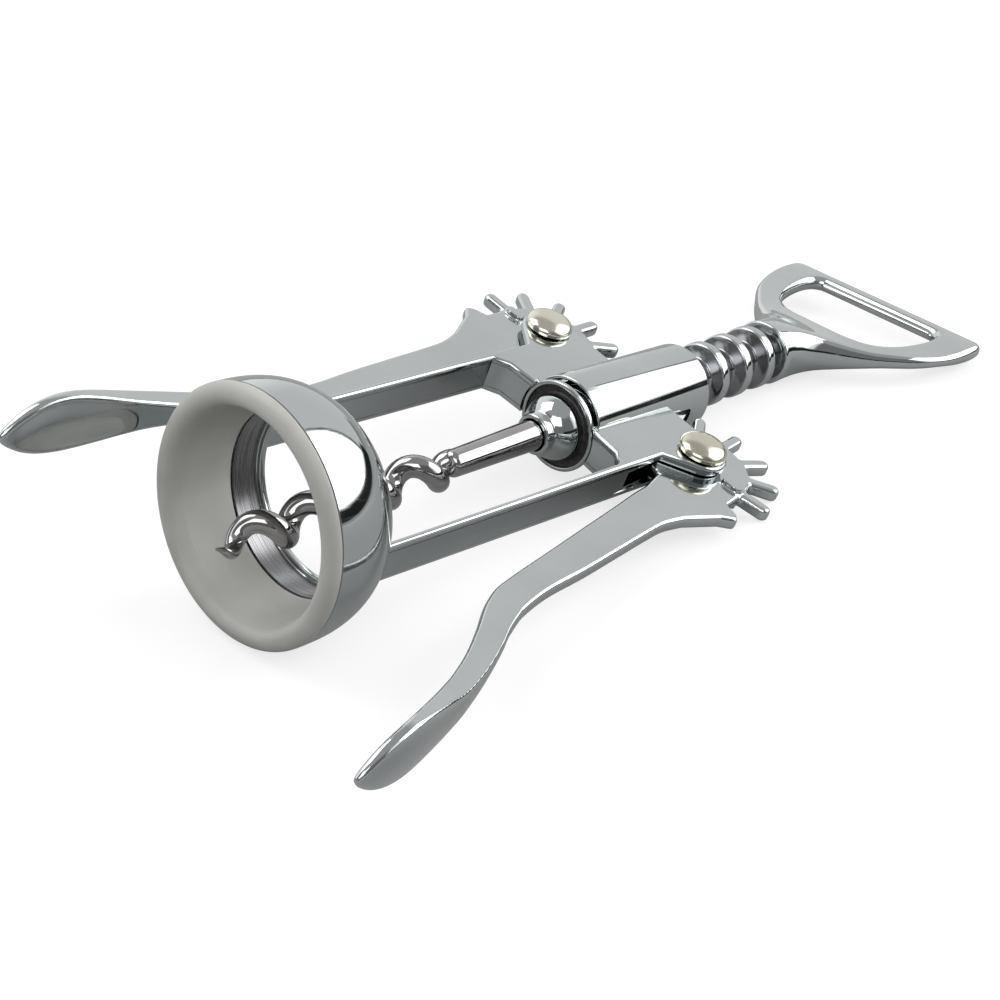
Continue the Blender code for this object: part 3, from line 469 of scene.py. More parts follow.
def slab(name, outline, low, high):
    """Fill an outline and draw it up from one height to another."""
    piece = corner_ring(name, [(x, y, low) for x, y in outline], fill="NGON")
    bpy.ops.mesh.extrude_region_move(TRANSFORM_OT_translate={"value": (0, 0, high - low)})
    bpy.ops.mesh.select_all(action="SELECT")
    bpy.ops.mesh.normals_make_consistent(inside=False)
    bpy.ops.object.mode_set(mode="OBJECT")
    return piece


def loft(name, sections):
    """Extrude a ring of corners from section to section, with a face on both ends."""
    piece = corner_ring(name, sections[0], fill="NGON")
    mesh = bmesh.from_edit_mesh(piece.data)
    mesh.verts.ensure_lookup_table()
    ring = list(range(len(sections[0])))
    for section in sections[1:]:
        bpy.ops.mesh.extrude_region()
        mesh = bmesh.from_edit_mesh(piece.data)
        mesh.verts.index_update()
        mesh.verts.ensure_lookup_table()
        fresh = {}
        for vertex in mesh.verts:
            if vertex.select:
                behind = [edge.other_vert(vertex) for edge in vertex.link_edges]
                fresh.update({other.index: vertex for other in behind if not other.select})
        for number, point in zip(ring, section):
            fresh[number].co = point
        ring = [fresh[number].index for number in ring]
        bmesh.update_edit_mesh(piece.data)
    bpy.ops.mesh.select_all(action="SELECT")
    bpy.ops.mesh.normals_make_consistent(inside=False)
    bpy.ops.object.mode_set(mode="OBJECT")
    return piece


def modify(piece, kind, **settings):
    """Add a modifier with its settings and apply it at once."""
    select_nothing()
    bpy.context.view_layer.objects.active = piece
    piece.select_set(True)
    bpy.ops.object.modifier_add(type=kind)
    modifier = piece.modifiers[-1]
    for key, value in settings.items():
        setattr(modifier, key, value)
    bpy.ops.object.modifier_apply(modifier=modifier.name)
    return piece


def cut(piece, tool, operation="DIFFERENCE"):
    """Cut one solid with another, or unite them, and throw the tool away."""
    modify(piece, "BOOLEAN", object=tool, operation=operation, solver="EXACT")
    bpy.data.objects.remove(tool, do_unlink=True)
    return piece


def join(pieces, name):
    """Put several pieces into one object."""
    select_nothing()
    for piece in pieces:
        piece.select_set(True)
    bpy.context.view_layer.objects.active = pieces[0]
    if len(pieces) > 1:
        bpy.ops.object.join()
    pieces[0].name = name
    return pieces[0]


def lay(piece, place):
    """Move a piece, or a tool, to its place and keep that place in its mesh."""
    select_nothing()
    bpy.context.view_layer.objects.active = piece
    piece.select_set(True)
    piece.matrix_world = place @ piece.matrix_world
    bpy.ops.object.transform_apply(location=True, rotation=True, scale=True)
    return piece


def finish(piece, place, body, node, material, smooth=30):
    """Lay a piece down, shade it, give it its metal and let it stand for its solid."""
    lay(piece, place)
    bpy.ops.object.shade_smooth_by_angle(angle=math.radians(smooth))
    if not piece.data.materials:
        piece.data.materials.append(material)
    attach(piece, body)
    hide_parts(node)
    print(piece.name, "has", len(piece.data.polygons), "faces")
    return piece


print("helpers ready")

# %% [markdown]
# ## The bell
#
# The bell is the cap that sits over the bottle's neck. Outside it is a dome, drawn here
# as a rounded curve between the rim and the hole in its crown. Inside it has a straight
# bore for the bottle, which ends in a narrow ledge. One profile holds all of it, and one
# spin makes it. Every edge gets a small radius, because a sharp edge never shines.

# %% Model the bell
BELL_RADIUS = 0.0215
BELL_LENGTH = 0.0191
BELL_ROUNDNESS = 2.64
CROWN_RADIUS = 0.0145
BORE_RADIUS = 0.0154
BORE_START = 0.0106
BORE_END = 0.0156
MOUTH = 0.0010
POCKET_MOUTH = 0.0198
POCKET_FLOOR = 0.0171


def dome_at(radius):
    """Place along Y of the dome's outside at a radius."""
    fall = (1 - (radius / BELL_RADIUS) ** BELL_ROUNDNESS) ** (1 / BELL_ROUNDNESS)
    return MOUTH + BELL_LENGTH * fall


crown_edge = 0.0005
ledge_edge = 0.00025
last_angle = math.acos((CROWN_RADIUS + crown_edge) / BELL_RADIUS)
dome = [(BELL_RADIUS * math.cos(last_angle * step / 48), 0) for step in range(49)]
dome = [(radius, dome_at(radius)) for radius, _ in dome]
top = dome[-1][1]
profile = [(BELL_RADIUS - 0.0003, MOUTH - 0.0001)] + dome
profile += arc((CROWN_RADIUS + crown_edge, top - crown_edge), (crown_edge, crown_edge), 90, 180, 6)[1:]
profile += arc((CROWN_RADIUS + ledge_edge, BORE_END + ledge_edge), (ledge_edge, ledge_edge), 180, 270, 3)
profile += [(BORE_RADIUS - 0.0001, BORE_END), (BORE_RADIUS, BORE_END - 0.0001)]
profile += [(BORE_RADIUS, BORE_START), (POCKET_FLOOR, BORE_START), (POCKET_MOUTH, MOUTH - 0.0001)]
bell = turned("bell", profile, steps=128, closed=True)

bell.data.materials.append(chrome)
bell.data.materials.append(shaded_bore_metal)
# The bore's faces get the dark turned metal, which is painted shade inside the bell
for face in bell.data.polygons:
    radius = math.hypot(face.center.x, face.center.z)
    if radius < BORE_RADIUS + 0.0001 and BORE_START < face.center.y < BORE_END - 0.0001:
        face.material_index = 1
finish(bell, casting_place, "frame", "frame", chrome, smooth=35)

# %% [markdown]
# The liner keeps the metal off the glass. Its lip is broad and rounded and stands a
# little proud of the rim; behind the lip it narrows like a funnel down to the bore.

# %% Model the liner
LIP_CREST = 0.0194
LIP_HEIGHT = 0.0011
LIP_INNER = 0.0177
LINER_FLOOR = 0.0155
flange = MOUTH - 0.0003
profile = arc((LIP_CREST, flange), (BELL_RADIUS - LIP_CREST, LIP_HEIGHT + flange), 0, -90, 16)
profile += arc((LIP_CREST, flange), (LIP_CREST - LIP_INNER, LIP_HEIGHT + flange), -90, -165, 14)[1:]
profile += arc((LIP_INNER + 0.0009, flange + 0.0014), (0.0012, 0.0018), -165, -180, 4)[1:]
profile += [(0.0162, 0.0085), (LINER_FLOOR + 0.0002, 0.0100), (LINER_FLOOR + 0.0002, 0.0103)]
profile += [(POCKET_FLOOR - 0.0003, 0.0103), (POCKET_MOUTH - 0.0003, flange)]
liner = turned("liner", profile, steps=128, closed=True)
finish(liner, casting_place, "frame", "bell_liner", soft_plastic, smooth=35)

# %% [markdown]
# ## The two sides of the casting
#
# Each side is flat: a thin leg runs back from the bell, widens into a gusset at the
# barrel and ends in an ear with a round boss for the rivet. Seen from the edge it is
# three layers: a plate above, a plate below, and a core that is set in by 0.7 mm, which
# draws the dark line under the plate's bright edge. Each layer is one outline, filled
# and drawn up; the barrel's bore and the collar's seat are cut from it, and last of all
# the outlines of the two plates are rounded. The lever swings in a pocket in the core.

# %% Model the casting's sides
LEG_INNER = 0.01645
LEG_OUTER = 0.0178
HALF_HEIGHT = 0.00371
PLATE = 0.0013
CORE_STEP = 0.0007
BOSS_RADIUS = 0.0050
BARREL_RADIUS = 0.00835
BARREL_BORE = 0.0076
POCKET_RADIUS = 0.01675
POCKET_HEIGHT = 0.0032
CORE_HALF_HEIGHT = 0.0026
PLATE_ROUNDING = 0.0006
SEAT_RADIUS = 0.00883


def side_outline(step, inner_end):
    """Leg, gusset and ear from above, with the outer side drawn in by a step."""
    boss = BOSS_RADIUS - step
    centre = Vector((PIVOT_OFFSET, PIVOT_STATION))
    corner = Vector((LEG_OUTER - step, PIVOT_STATION - 0.0082 + step))
    to_corner = corner - centre
    start = math.degrees(math.atan2(to_corner.y, to_corner.x) + math.acos(boss / to_corner.length))
    outline = [(LEG_INNER, 0.0125), (LEG_OUTER, 0.0125), (LEG_OUTER, 0.0705), tuple(corner)]
    outline += arc(centre, (boss, boss), start, 90, 28)
    outline += [(inner_end, PIVOT_STATION + boss), (inner_end, 0.0728), (0.0073, 0.0728)]
    return outline + [(0.0138, 0.0724), (LEG_INNER, 0.0705)]


def mirrored(points):
    """The same outline on the other side of the barrel."""
    return [(-x, y) for x, y in reversed(points)]


def round_faces_at(piece, height, radius):
    """Round the outline of the flat faces at this height above and below the middle."""
    select_nothing()
    bpy.context.view_layer.objects.active = piece
    bpy.ops.object.mode_set(mode="EDIT")
    bpy.ops.mesh.select_mode(type="EDGE")
    bpy.ops.mesh.select_all(action="DESELECT")
    mesh = bmesh.from_edit_mesh(piece.data)
    found = False
    for edge in mesh.edges:
        at_height = all(abs(abs(vertex.co.z) - height) < 0.00001 for vertex in edge.verts)
        # The core doesn't reach this height, and edges inside a flat face stay as they are
        if at_height and len(edge.link_faces) == 2 and edge.calc_face_angle() > math.radians(40):
            edge.select_set(True)
            found = True
    bmesh.update_edit_mesh(piece.data)
    if found:
        bpy.ops.mesh.bevel(offset=radius, segments=5, affect="EDGES", clamp_overlap=False)
    bpy.ops.object.mode_set(mode="OBJECT")


for name, flip in (("side_right", False), ("side_left", True)):
    layers = []
    for step, low, high in ((0, HALF_HEIGHT - PLATE, HALF_HEIGHT),
                            (0, -HALF_HEIGHT, PLATE - HALF_HEIGHT),
                            (CORE_STEP, -CORE_HALF_HEIGHT, CORE_HALF_HEIGHT)):
        outline = side_outline(step, 0.0050)
        layer = slab(name, mirrored(outline) if flip else outline, low, high)
        if step:
            sign = -1 if flip else 1
            select_nothing()
            bpy.ops.mesh.primitive_cylinder_add(vertices=128, radius=POCKET_RADIUS, depth=POCKET_HEIGHT,
                                                location=(sign * PIVOT_OFFSET, PIVOT_STATION, 0))
            cut(layer, bpy.context.object)
        layers.append(layer)
    # The barrel's bore and the leaning collar need room between the two gussets
    for layer in layers:
        select_nothing()
        bpy.ops.mesh.primitive_cylinder_add(vertices=128, radius=BARREL_BORE + 0.0002, depth=0.06,
                                            location=(0, 0.09, 0), rotation=(math.pi / 2, 0, 0))
        cut(layer, bpy.context.object)
        bpy.ops.mesh.primitive_cylinder_add(vertices=128, radius=SEAT_RADIUS, depth=0.0080,
                                            location=(0, 0, 0), rotation=(math.pi / 2, 0, 0))
        seat = lay(bpy.context.object, Matrix.Translation((0, MID_BARREL, 0))
                   @ Matrix.Rotation(STEM_LEAN, 4, "X") @ Matrix.Translation((0, -0.0210, 0)))
        cut(layer, seat)
        round_faces_at(layer, HALF_HEIGHT, PLATE_ROUNDING)
    side_piece = join(layers, name)
    finish(side_piece, casting_place, "frame", "frame", chrome, smooth=40)

# %% [markdown]
# ## The barrel
#
# The barrel guides the rack. It is a plain tube, spun from a small profile with rounded
# ends, and a slot on both sides lets the levers' fingers reach the rack inside.

# %% Model the barrel
BARREL_START = 0.0745
BARREL_END = 0.1070
START_EDGE = 0.0003
EDGE = 0.0005
SLOT_START = 0.0771
SLOT_END = 0.1015
SLOT_HEIGHT = 0.0038
profile = [(BARREL_BORE, BARREL_START + 0.0002), (BARREL_BORE + 0.0002, BARREL_START)]
profile += arc((BARREL_RADIUS - START_EDGE, BARREL_START + START_EDGE), (START_EDGE, START_EDGE), -90, 0, 4)
profile += arc((BARREL_RADIUS - EDGE, BARREL_END - EDGE), (EDGE, EDGE), 0, 90, 8)
profile += [(BARREL_BORE + 0.0001, BARREL_END), (BARREL_BORE, BARREL_END - 0.0001)]
barrel = turned("barrel", profile, steps=128, closed=True)
select_nothing()
bpy.ops.mesh.primitive_cube_add(size=1, location=(0, (SLOT_START + SLOT_END) / 2, 0),
                                scale=(0.03, SLOT_END - SLOT_START, SLOT_HEIGHT))
slot_tool = modify(bpy.context.object, "BEVEL", width=0.0006, segments=4)
cut(barrel, slot_tool)
finish(barrel, casting_place, "frame", "frame", chrome, smooth=35)

# %% [markdown]
# ## The rivets
#
# Each lever turns on a rivet with a low domed head of warmer metal. The head is spun
# like the bell, then stood up so that its axis points through the plates.

# %% Model the rivets
RIVET_RADIUS = 0.0045
RIVET_RISE = 0.0019
RIM_HEIGHT = 0.0006
TAIL_RADIUS = 0.0036
TAIL_RISE = 0.0011
PIN_RADIUS = 0.0023
seat_height = HALF_HEIGHT + 0.0003
rim_top = seat_height + RIM_HEIGHT
profile = [(0, -seat_height - TAIL_RISE)]
profile += arc((0, -seat_height), (TAIL_RADIUS, TAIL_RISE), -80, -8, 10)
profile += [(TAIL_RADIUS - 0.0001, -seat_height), (PIN_RADIUS, -seat_height), (PIN_RADIUS, seat_height)]
profile += [(RIVET_RADIUS - 0.0002, seat_height), (RIVET_RADIUS - 0.00005, seat_height + 0.00012)]
profile += arc((0, rim_top), (RIVET_RADIUS, RIVET_RISE), 0, 88, 26)
profile += [(0, rim_top + RIVET_RISE)]
for label, sign in (("right", 1), ("left", -1)):
    rivet = turned(f"rivet_head_{label}", profile, steps=80)
    stand = Matrix.Translation((sign * PIVOT_OFFSET, PIVOT_STATION, 0))
    stand = stand @ Matrix.Rotation(math.pi / 2, 4, "X")
    finish(rivet, casting_place @ stand, "frame", f"rivet_{label}", warm_metal, smooth=40)

# %% [markdown]
# ## The stem: collar, rack and worm
#
# The stop collar closes the barrel's front end. It has a thin bright rim, a hollow ring
# painted black as shade, and a dome with a small nose where the shank comes out. The rack
# behind it is a rod with ribs all round, so that the levers' fingers mesh with it however
# it is turned. Each rib has a flat bright land and steep sides; the grooves between are
# rougher, and painted darker as shade.

# %% Model the collar and the rack
SHANK_RADIUS = 0.0028
SHANK_HOLE = 0.0031
COLLAR_RADIUS = 0.00853
COLLAR_GAP = 0.0003
RIM_EDGE = 0.0003
DOME_RADIUS = 0.0062
DOME_HEIGHT = 0.0056
collar_back = BARREL_START - MID_BARREL - COLLAR_GAP - COLLAR_RADIUS * math.sin(STEM_LEAN)
collar_front = collar_back - 0.0010
profile = [(SHANK_HOLE, collar_back), (COLLAR_RADIUS - RIM_EDGE, collar_back)]
profile += arc((COLLAR_RADIUS - RIM_EDGE, collar_back - RIM_EDGE), (RIM_EDGE, RIM_EDGE), 90, 0, 4)[1:]
profile += arc((COLLAR_RADIUS - RIM_EDGE, collar_front + RIM_EDGE), (RIM_EDGE, RIM_EDGE), 0, -90, 4)
profile += arc((0.00800, collar_front + 0.00015), (0.00025, 0.00015), -90, -180, 3)
profile += [(0.00768, collar_front + 0.0006), (0.0072, collar_front + 0.00075)]
profile += [(0.0064, collar_front + 0.00075), (0.00610, collar_front + 0.0005)]
profile += arc((0, collar_front), (DOME_RADIUS, DOME_HEIGHT), -1, -50, 30)
nose = collar_front - DOME_HEIGHT - 0.0006
profile += [(0.00385, collar_front - 0.0046)]
profile += arc((0.0034, nose + 0.00045), (0.00045, 0.00045), 0, -90, 6)
profile += [(SHANK_HOLE, nose)]
collar = turned("collar", profile, steps=112, closed=True)
collar.data.materials.append(chrome)
collar.data.materials.append(groove_shade_metal)
# Faces in the hollow ring get the black painted shade
for face in collar.data.polygons:
    radius = math.hypot(face.center.x, face.center.z)
    if 0.0059 < radius < 0.0078 and collar_front + 0.0001 < face.center.y < collar_front + 0.0009:
        face.material_index = 1
finish(collar, stem_place, "collar", "stop_collar", chrome, smooth=35)

RIB_RADIUS = 0.0063
CORE_RADIUS = 0.0036
RACK_END = 0.04225
RIB_PITCH = 0.00726
FIRST_RIB_BEHIND = 0.00207
profile = [(SHANK_HOLE, collar_back + 0.0003), (CORE_RADIUS, collar_back + 0.0003)]
for count in range(-2, 6):
    middle = FIRST_RIB_BEHIND + RIB_PITCH * count
    rib_side = [(CORE_RADIUS, 0.0021), (CORE_RADIUS + 0.0001, 0.0018),
                (CORE_RADIUS + 0.0003, 0.0016), (RIB_RADIUS - 0.0009, 0.00122),
                (RIB_RADIUS - 0.0003, 0.00110), (RIB_RADIUS - 0.0001, 0.00100),
                (RIB_RADIUS, 0.00078), (RIB_RADIUS + 0.00002, 0.0004)]
    profile += [(radius, middle - away) for radius, away in rib_side]
    profile += [(radius, middle + away) for radius, away in reversed(rib_side)]
# The spigot for the handle at one end, and the socket for the shank at the other
profile += [(CORE_RADIUS, RACK_END), (0.0030, RACK_END + 0.0001), (0.0030, RACK_END + 0.0080)]
profile += [(0.0002, RACK_END + 0.0081), (0.0002, 0.0123), (SHANK_HOLE, 0.0123)]
rack = turned("rack", profile, steps=96, closed=True)
rack.data.materials.append(chrome)
rack.data.materials.append(groove_shade_plating)
# Faces below the ribs' lands get the darker metal, painted shade in the grooves
for face in rack.data.polygons:
    radius = math.hypot(face.center.x, face.center.z)
    if radius < RIB_RADIUS - 0.0004 and face.center.y < RACK_END:
        face.material_index = 1
finish(rack, stem_place, "stem", "rack_stem", chrome, smooth=40)

# %% [markdown]
# The worm is one steel wire, wound into an open spiral with a sharp point, which grows
# out of a thicker shank with a rounded shoulder. Its path is worked out point by point:
# the wire leaves the middle, winds at a steady pitch and draws back to the middle at the
# tip. A ring of corners is extruded from one place on that path to the next.

# %% Model the worm
SHANK_END = -0.0440
SHOULDER = 0.0014
WORM_END = -0.0955
WIRE_RADIUS = 0.0020
TIP_RADIUS = 0.0002
SWING = 0.0020
TIP_SWING = 0.0006
PITCH = 0.01114
FIRST_ANGLE = math.radians(101)

profile = [(0, 0.0120), (SHANK_RADIUS, 0.0120), (SHANK_RADIUS, -0.0250)]
profile += arc((0.00245 - SHOULDER, SHANK_END), (SHOULDER, SHOULDER), 0, -80, 10)
profile += [(0.0005, SHANK_END - SHOULDER), (0, SHANK_END - SHOULDER)]
shank = turned("worm", profile, steps=72)

# The wire starts inside the shank
start = SHANK_END + 0.0024
length = start - WORM_END
turns = length / PITCH
steps = round(turns * 26)
path_points, wire_radii = [], []
for index in range(steps + 1):
    share = index / steps
    ease = min(share / 0.10, 1.0)
    point = max((share - 0.78) / 0.22, 0.0)
    swing = SWING * ease * ease * (3 - 2 * ease) + (TIP_SWING - SWING) * point ** 3
    turn = FIRST_ANGLE + 2 * math.pi * turns * share
    path_points.append(Vector((swing * math.cos(turn), start - length * share, swing * math.sin(turn))))
    wire_radii.append(WIRE_RADIUS + (TIP_RADIUS - WIRE_RADIUS) * point ** 2.4)
steady = Vector((math.cos(FIRST_ANGLE), 0, math.sin(FIRST_ANGLE)))
corners = [2 * math.pi * corner / 20 for corner in range(20)]
sections = []
for index, (centre, wire) in enumerate(zip(path_points, wire_radii)):
    ahead = (path_points[min(index + 1, steps)] - path_points[max(index - 1, 0)]).normalized()
    first = ahead.cross(steady).normalized()
    second = ahead.cross(first)
    sections.append([centre + wire * (math.cos(a) * first + math.sin(a) * second) for a in corners])
spiral = loft("spiral", sections)
worm = join([shank, spiral], "worm_wire")
finish(worm, stem_place, "stem", "worm", worm_metal, smooth=50)

# %% [markdown]
# ## The levers
#
# Both levers come from one mould. From above, a round head carries seven rounded
# fingers and a pointed horn, and a flat arm bends away to a paddle, which is turned on
# edge like a leaf and hollowed on its inner face. The flat part is one outline drawn up
# to its thickness, and the paddle is a loft. Blender's voxel remesh then melts them into
# one skin, and a little smoothing rounds all edges as a casting's are.

# %% Model one lever
# The rows are shares of the sizes above them: place along the arm, its middle and its
# width, and for the paddle its height and how hollow it is as well. Angles in degrees.
THICKNESS = 0.0026
HEAD_RADIUS = 0.0105
FINGER_REACH = 0.01615
FINGER_HALF = 0.00125
FIRST_FINGER = 10.9
FINGER_PITCH = 29.15
NUB_RADIUS = 0.00105
NUB_RISE = 0.0009
ARM_LENGTH = 0.1100
PADDLE_REACH = 0.0308
ARM_WIDTH = 0.0090
PADDLE_HALF_HEIGHT = 0.0054
ARM_SHARES = [
    (0.140, 0.186, 1.120), (0.184, 0.190, 0.970), (0.233, 0.216, 0.905), (0.314, 0.262, 0.850),
    (0.401, 0.312, 0.785), (0.476, 0.350, 0.700), (0.522, 0.380, 0.690), (0.568, 0.422, 0.711),
    (0.608, 0.489, 0.711)]
PADDLE_SHARES = [
    (0.568, 0.422, 0.711, 0.241, 0.00), (0.608, 0.489, 0.700, 0.243, 0.00),
    (0.650, 0.584, 0.644, 0.260, 0.00), (0.709, 0.702, 0.556, 0.350, 0.00),
    (0.765, 0.794, 0.490, 0.500, 0.15), (0.800, 0.839, 0.430, 0.640, 0.60),
    (0.835, 0.880, 0.360, 0.810, 0.95), (0.870, 0.918, 0.300, 0.950, 1.00),
    (0.900, 0.946, 0.260, 1.000, 1.00), (0.930, 0.967, 0.235, 0.930, 0.90),
    (0.955, 0.980, 0.220, 0.760, 0.60), (0.975, 0.990, 0.200, 0.540, 0.20),
    (0.992, 0.997, 0.160, 0.280, 0.00), (1.000, 1.000, 0.100, 0.080, 0.00)]


def curve_through(rows, count):
    """Rows between the given ones, on a smooth curve through them."""
    result = []
    for step in range(count + 1):
        place = step / count * (len(rows) - 1)
        index = min(int(place), len(rows) - 2)
        share = place - index
        before, first, second, after = (rows[min(max(index + k, 0), len(rows) - 1)] for k in (-1, 0, 1, 2))
        row = []
        for a, b, c, d in zip(before, first, second, after):
            bend = (2 * b) + (c - a) * share
            bend += (2 * a - 5 * b + 4 * c - d) * share ** 2
            bend += (3 * b - a - 3 * c + d) * share ** 3
            row.append(bend / 2)
        result.append(tuple(row))
    return result


def head_outline():
    """The outline of head, fingers, horn and flat arm, from above."""
    inner_side, outer_side = [], []
    for share, middle, width in curve_through(ARM_SHARES, 40):
        inner_side.append((middle * PADDLE_REACH - width * ARM_WIDTH / 2, -share * ARM_LENGTH))
        outer_side.append((middle * PADDLE_REACH + width * ARM_WIDTH / 2, -share * ARM_LENGTH))
    points = list(reversed(outer_side))
    horn = [(0.0124, -0.0108), (0.0133, -0.0083), (0.0153, -0.0056), (0.0137, -0.0043)]
    points += horn + [(0.0113, -0.0038)]
    for count in range(7):
        angle = math.radians(FIRST_FINGER + FINGER_PITCH * count)
        spread = FINGER_HALF / HEAD_RADIUS
        points.append((HEAD_RADIUS * math.cos(angle - spread), HEAD_RADIUS * math.sin(angle - spread)))
        for x, y in arc((FINGER_REACH - FINGER_HALF, 0), (FINGER_HALF, FINGER_HALF), -90, 90, 12):
            points.append((x * math.cos(angle) - y * math.sin(angle),
                           x * math.sin(angle) + y * math.cos(angle)))
        for step in (0.0, 0.3, 0.5, 0.7):
            between = angle + spread + (math.radians(FINGER_PITCH) - 2 * spread) * step
            points.append((HEAD_RADIUS * math.cos(between), HEAD_RADIUS * math.sin(between)))
    end = math.degrees(math.atan2(inner_side[0][1], inner_side[0][0])) % 360
    # The last arc starts between the fingers' last step and the arm, so that nothing folds
    points += arc((0, 0), (HEAD_RADIUS, HEAD_RADIUS), FIRST_FINGER + FINGER_PITCH * 6.8, end - 8, 12)
    return points + inner_side


def paddle_section(share, middle, width, height_share, dish):
    """A section of the paddle: flat inner and outer sides that swell into a leaf."""
    inner = middle * PADDLE_REACH - width * ARM_WIDTH / 2
    outer = middle * PADDLE_REACH + width * ARM_WIDTH / 2
    half = height_share * PADDLE_HALF_HEIGHT
    edge = min(0.0008, (outer - inner) / 2, half)
    up_side, down_side = [], []
    for step in range(25):
        place = math.sin(math.radians(-90 + 7.5 * step))
        # The corners are rounded: both sides draw in near the section's ends
        over = max(abs(place) * half - (half - edge), 0) / edge
        inset = edge * (1 - math.sqrt(max(1 - over * over, 0)))
        hollow = max(1 - (place / 0.95) ** 2, 0) ** 1.6
        swell = 1 - place * place
        up_side.append((inner + inset + dish * hollow * 0.0007, -share * ARM_LENGTH, half * place))
        down_side.append((outer - inset + dish * swell * 0.0005, -share * ARM_LENGTH, half * place))
    # The two sides meet in one corner at the top and one at the bottom
    return up_side + down_side[-2:0:-1]


def lever_shape(name):
    """One lever with its pivot at the origin and its arm towards -Y."""
    flat = slab(name, head_outline(), -THICKNESS / 2, THICKNESS / 2)
    modify(flat, "BEVEL", width=0.0008, segments=4, limit_method="ANGLE", angle_limit=math.radians(60),
           use_clamp_overlap=False)
    rows = curve_through(PADDLE_SHARES, 60)
    paddle = loft("paddle", [paddle_section(*row) for row in rows])
    pill = arc((NUB_RADIUS, 0), (NUB_RADIUS, NUB_RADIUS), -90, 90, 10)
    pill += arc((-NUB_RADIUS, 0), (NUB_RADIUS, NUB_RADIUS), 90, 270, 10)
    nub = slab("nub", pill, -THICKNESS / 2 - NUB_RISE, THICKNESS / 2 + NUB_RISE)
    lay(nub, Matrix.Rotation(math.radians(7), 4, "Z") @ Matrix.Translation((0.0080, 0, 0)))
    lever = join([flat, paddle, nub], name)
    modify(lever, "REMESH", mode="VOXEL", voxel_size=0.0002)
    modify(lever, "SMOOTH", factor=0.5, iterations=6)
    select_nothing()
    bpy.ops.mesh.primitive_cylinder_add(vertices=64, radius=0.0026, depth=0.01)
    cut(lever, bpy.context.object)
    return lever


for label, turned_over in (("right", False), ("left", True)):
    lever = lever_shape(f"lever_casting_{label}")
    sign = -1 if turned_over else 1
    place = Matrix.Translation((sign * PIVOT_OFFSET, PIVOT_STATION, 0))
    if turned_over:
        place = place @ Euler((0, math.pi, LEVER_PLAY)).to_matrix().to_4x4()
    node = f"lever_{label}"
    finish(lever, casting_place @ place, node, node, chrome, smooth=40)

# %% [markdown]
# ## The handle
#
# The handle is also the cap lifter. A round neck spreads into a flat ring with crowned
# faces. It is lofted, and the loop is cut out with a tool that is wider at its top and
# bottom, which leaves a rounded inner wall. The same remesh and smoothing as on the
# levers soften the cut's edges. A thin round rib along the ring's bar catches the cap's
# edge; it is laid on last, so that a sharp line stays where it meets the bar.

# %% Model the handle
HANDLE_END = 0.0869
HALF_WIDTH = 0.0247
HALF_THICKNESS = 0.0022
LOOP_START = 0.0618
LOOP_END = 0.0826
LOOP_HALF_WIDTH = 0.0163
RING_ROUNDING = 0.0017
RING_RISE = 0.0005
RING_SHIFT = 0.0006
RING_CROWN = 0.0008
TOOL_HALF_HEIGHT = 0.008
LIP_RIB_HALF_LENGTH = 0.0146
LIP_RIB_RADIUS = 0.0009
LIP_RIB_TAPER = 0.0012
# Shares of the sizes above: place along the handle, its width and its thickness, and
# place along the loop with its width
HANDLE_SHARES = [
    (0.000, 0.267, 2.955), (0.040, 0.268, 2.86), (0.085, 0.270, 2.70), (0.153, 0.290, 2.40),
    (0.222, 0.350, 2.00), (0.290, 0.462, 1.62), (0.370, 0.595, 1.30), (0.450, 0.708, 1.11),
    (0.542, 0.828, 1.01), (0.634, 0.910, 0.96), (0.748, 0.975, 0.88), (0.840, 1.000, 0.79),
    (0.920, 1.000, 0.76), (0.966, 0.988, 0.70), (0.990, 0.956, 0.53), (1.000, 0.910, 0.24)]
LOOP_SHARES = [
    (0.00, 0.00), (0.00, 0.15), (0.02, 0.36), (0.07, 0.58), (0.17, 0.76), (0.33, 0.89),
    (0.55, 0.97), (0.78, 1.00), (0.92, 0.97), (0.98, 0.90), (1.00, 0.80), (1.00, 0.00)]


def ease_in(value, start, end):
    """0 before the start and 1 after the end, with a smooth rise between them."""
    share = min(max((value - start) / (end - start), 0), 1)
    return share * share * (3 - 2 * share)


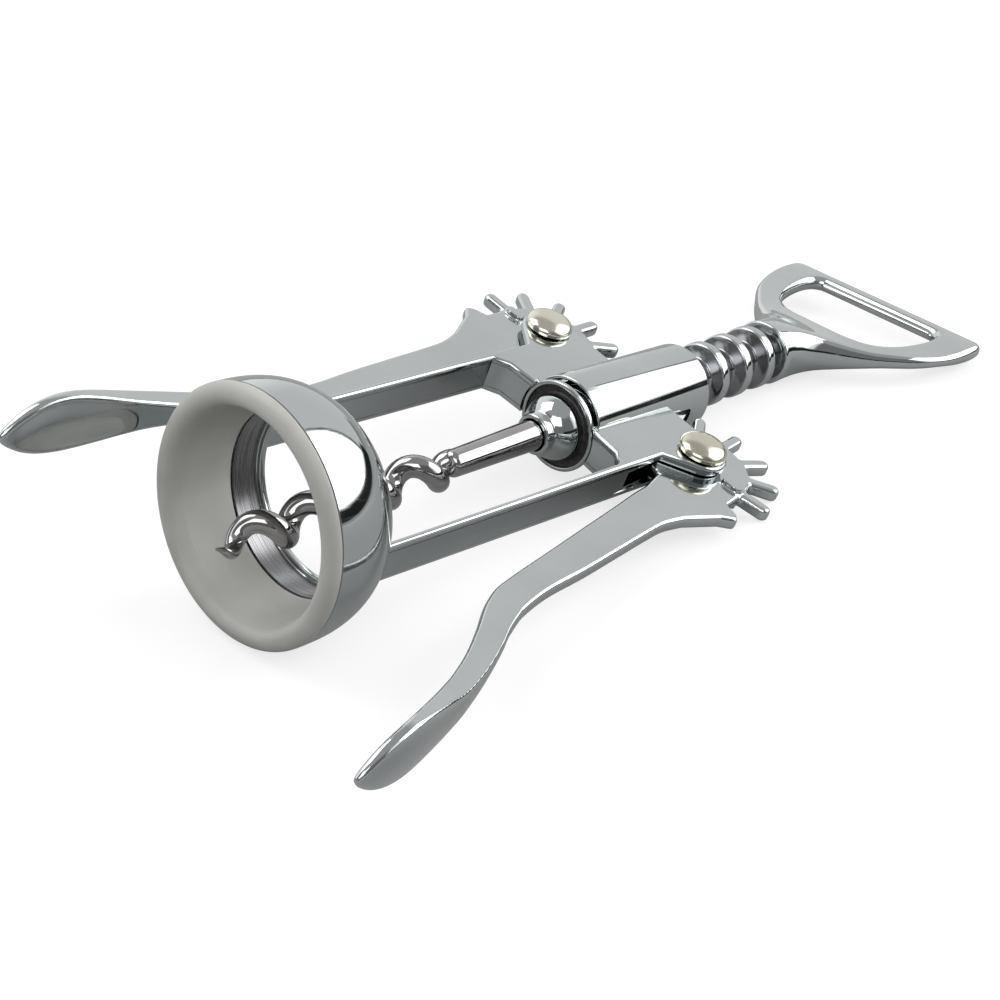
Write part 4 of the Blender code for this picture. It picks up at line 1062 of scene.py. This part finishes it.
handle_start = RACK_END + 0.0003
sections = []
for share, width, thickness in curve_through(HANDLE_SHARES, 75):
    half_width, half_thickness = width * HALF_WIDTH, thickness * HALF_THICKNESS
    station = handle_start + share * (HANDLE_END - handle_start)
    blend = ease_in(share, 0.15, 0.60)
    rise, shift = RING_RISE * blend, RING_SHIFT * blend
    # The ring's faces are crowned: higher in the middle than beside the rounded edge
    crown = RING_CROWN * ease_in(share, 0.12, 0.45) * (1 - ease_in(share, 0.66, 0.90))
    edge = half_thickness - crown
    flat = max(half_width - edge, 0.0003)
    right = arc((flat, 0), (half_width - flat, edge), -90, 90, 18)
    places = [1 - step / 8 for step in range(1, 16)]
    top = [(flat * place, edge + crown * (1 - place * place)) for place in places]
    half_section = right + top
    other_half = [(-x, -z) for x, z in half_section]
    sections.append([(x + shift, station, z + rise) for x, z in half_section + other_half])
handle = loft("opener", sections)

# The tool is wider at its top and bottom, so that it leaves a rounded inner wall
loop_levels = []
for step in range(-8, 9):
    height = math.sin(math.radians(90 * step / 8))
    outset = RING_ROUNDING * (1 - math.sqrt(max(1 - height * height, 0)))
    half_loop = [(width * (LOOP_HALF_WIDTH + outset),
                  LOOP_START - outset + share * (LOOP_END - LOOP_START + 2 * outset))
                 for share, width in curve_through(LOOP_SHARES, 66)]
    whole_loop = half_loop + [(-x, y) for x, y in reversed(half_loop[1:-1])]
    tool_height = RING_RISE + height * (RING_ROUNDING + 0.00005)
    loop_levels.append([(x + RING_SHIFT, y, tool_height) for x, y in whole_loop])
loop_levels.insert(0, [(x, y, -TOOL_HALF_HEIGHT) for x, y, _ in loop_levels[0]])
loop_levels.append([(x, y, TOOL_HALF_HEIGHT) for x, y, _ in loop_levels[-1]])
cut(handle, loft("loop", loop_levels))
modify(handle, "REMESH", mode="VOXEL", voxel_size=0.00026)
modify(handle, "SMOOTH", factor=0.5, iterations=26)

straight = LIP_RIB_HALF_LENGTH - LIP_RIB_TAPER
profile = [(0, -LIP_RIB_HALF_LENGTH)]
profile += arc((0, -straight), (LIP_RIB_RADIUS, LIP_RIB_TAPER), -80, 0, 8)
profile += arc((0, straight), (LIP_RIB_RADIUS, LIP_RIB_TAPER), 0, 80, 8)
rib = turned("rib", profile + [(0, LIP_RIB_HALF_LENGTH)], steps=40)
beside_loop = Matrix.Translation((RING_SHIFT, LOOP_END + 0.0003, 0.0004))
lay(rib, beside_loop @ Matrix.Rotation(math.pi / 2, 4, "Z"))
handle = join([handle, rib], "opener")
finish(handle, handle_place, "stem", "opener_handle", chrome, smooth=40)

# %% [markdown]
# Last, the selection is cleared and colours are shown with the Standard view transform.

# %% Close the scene
select_nothing()
bpy.context.scene.view_settings.view_transform = "Standard"
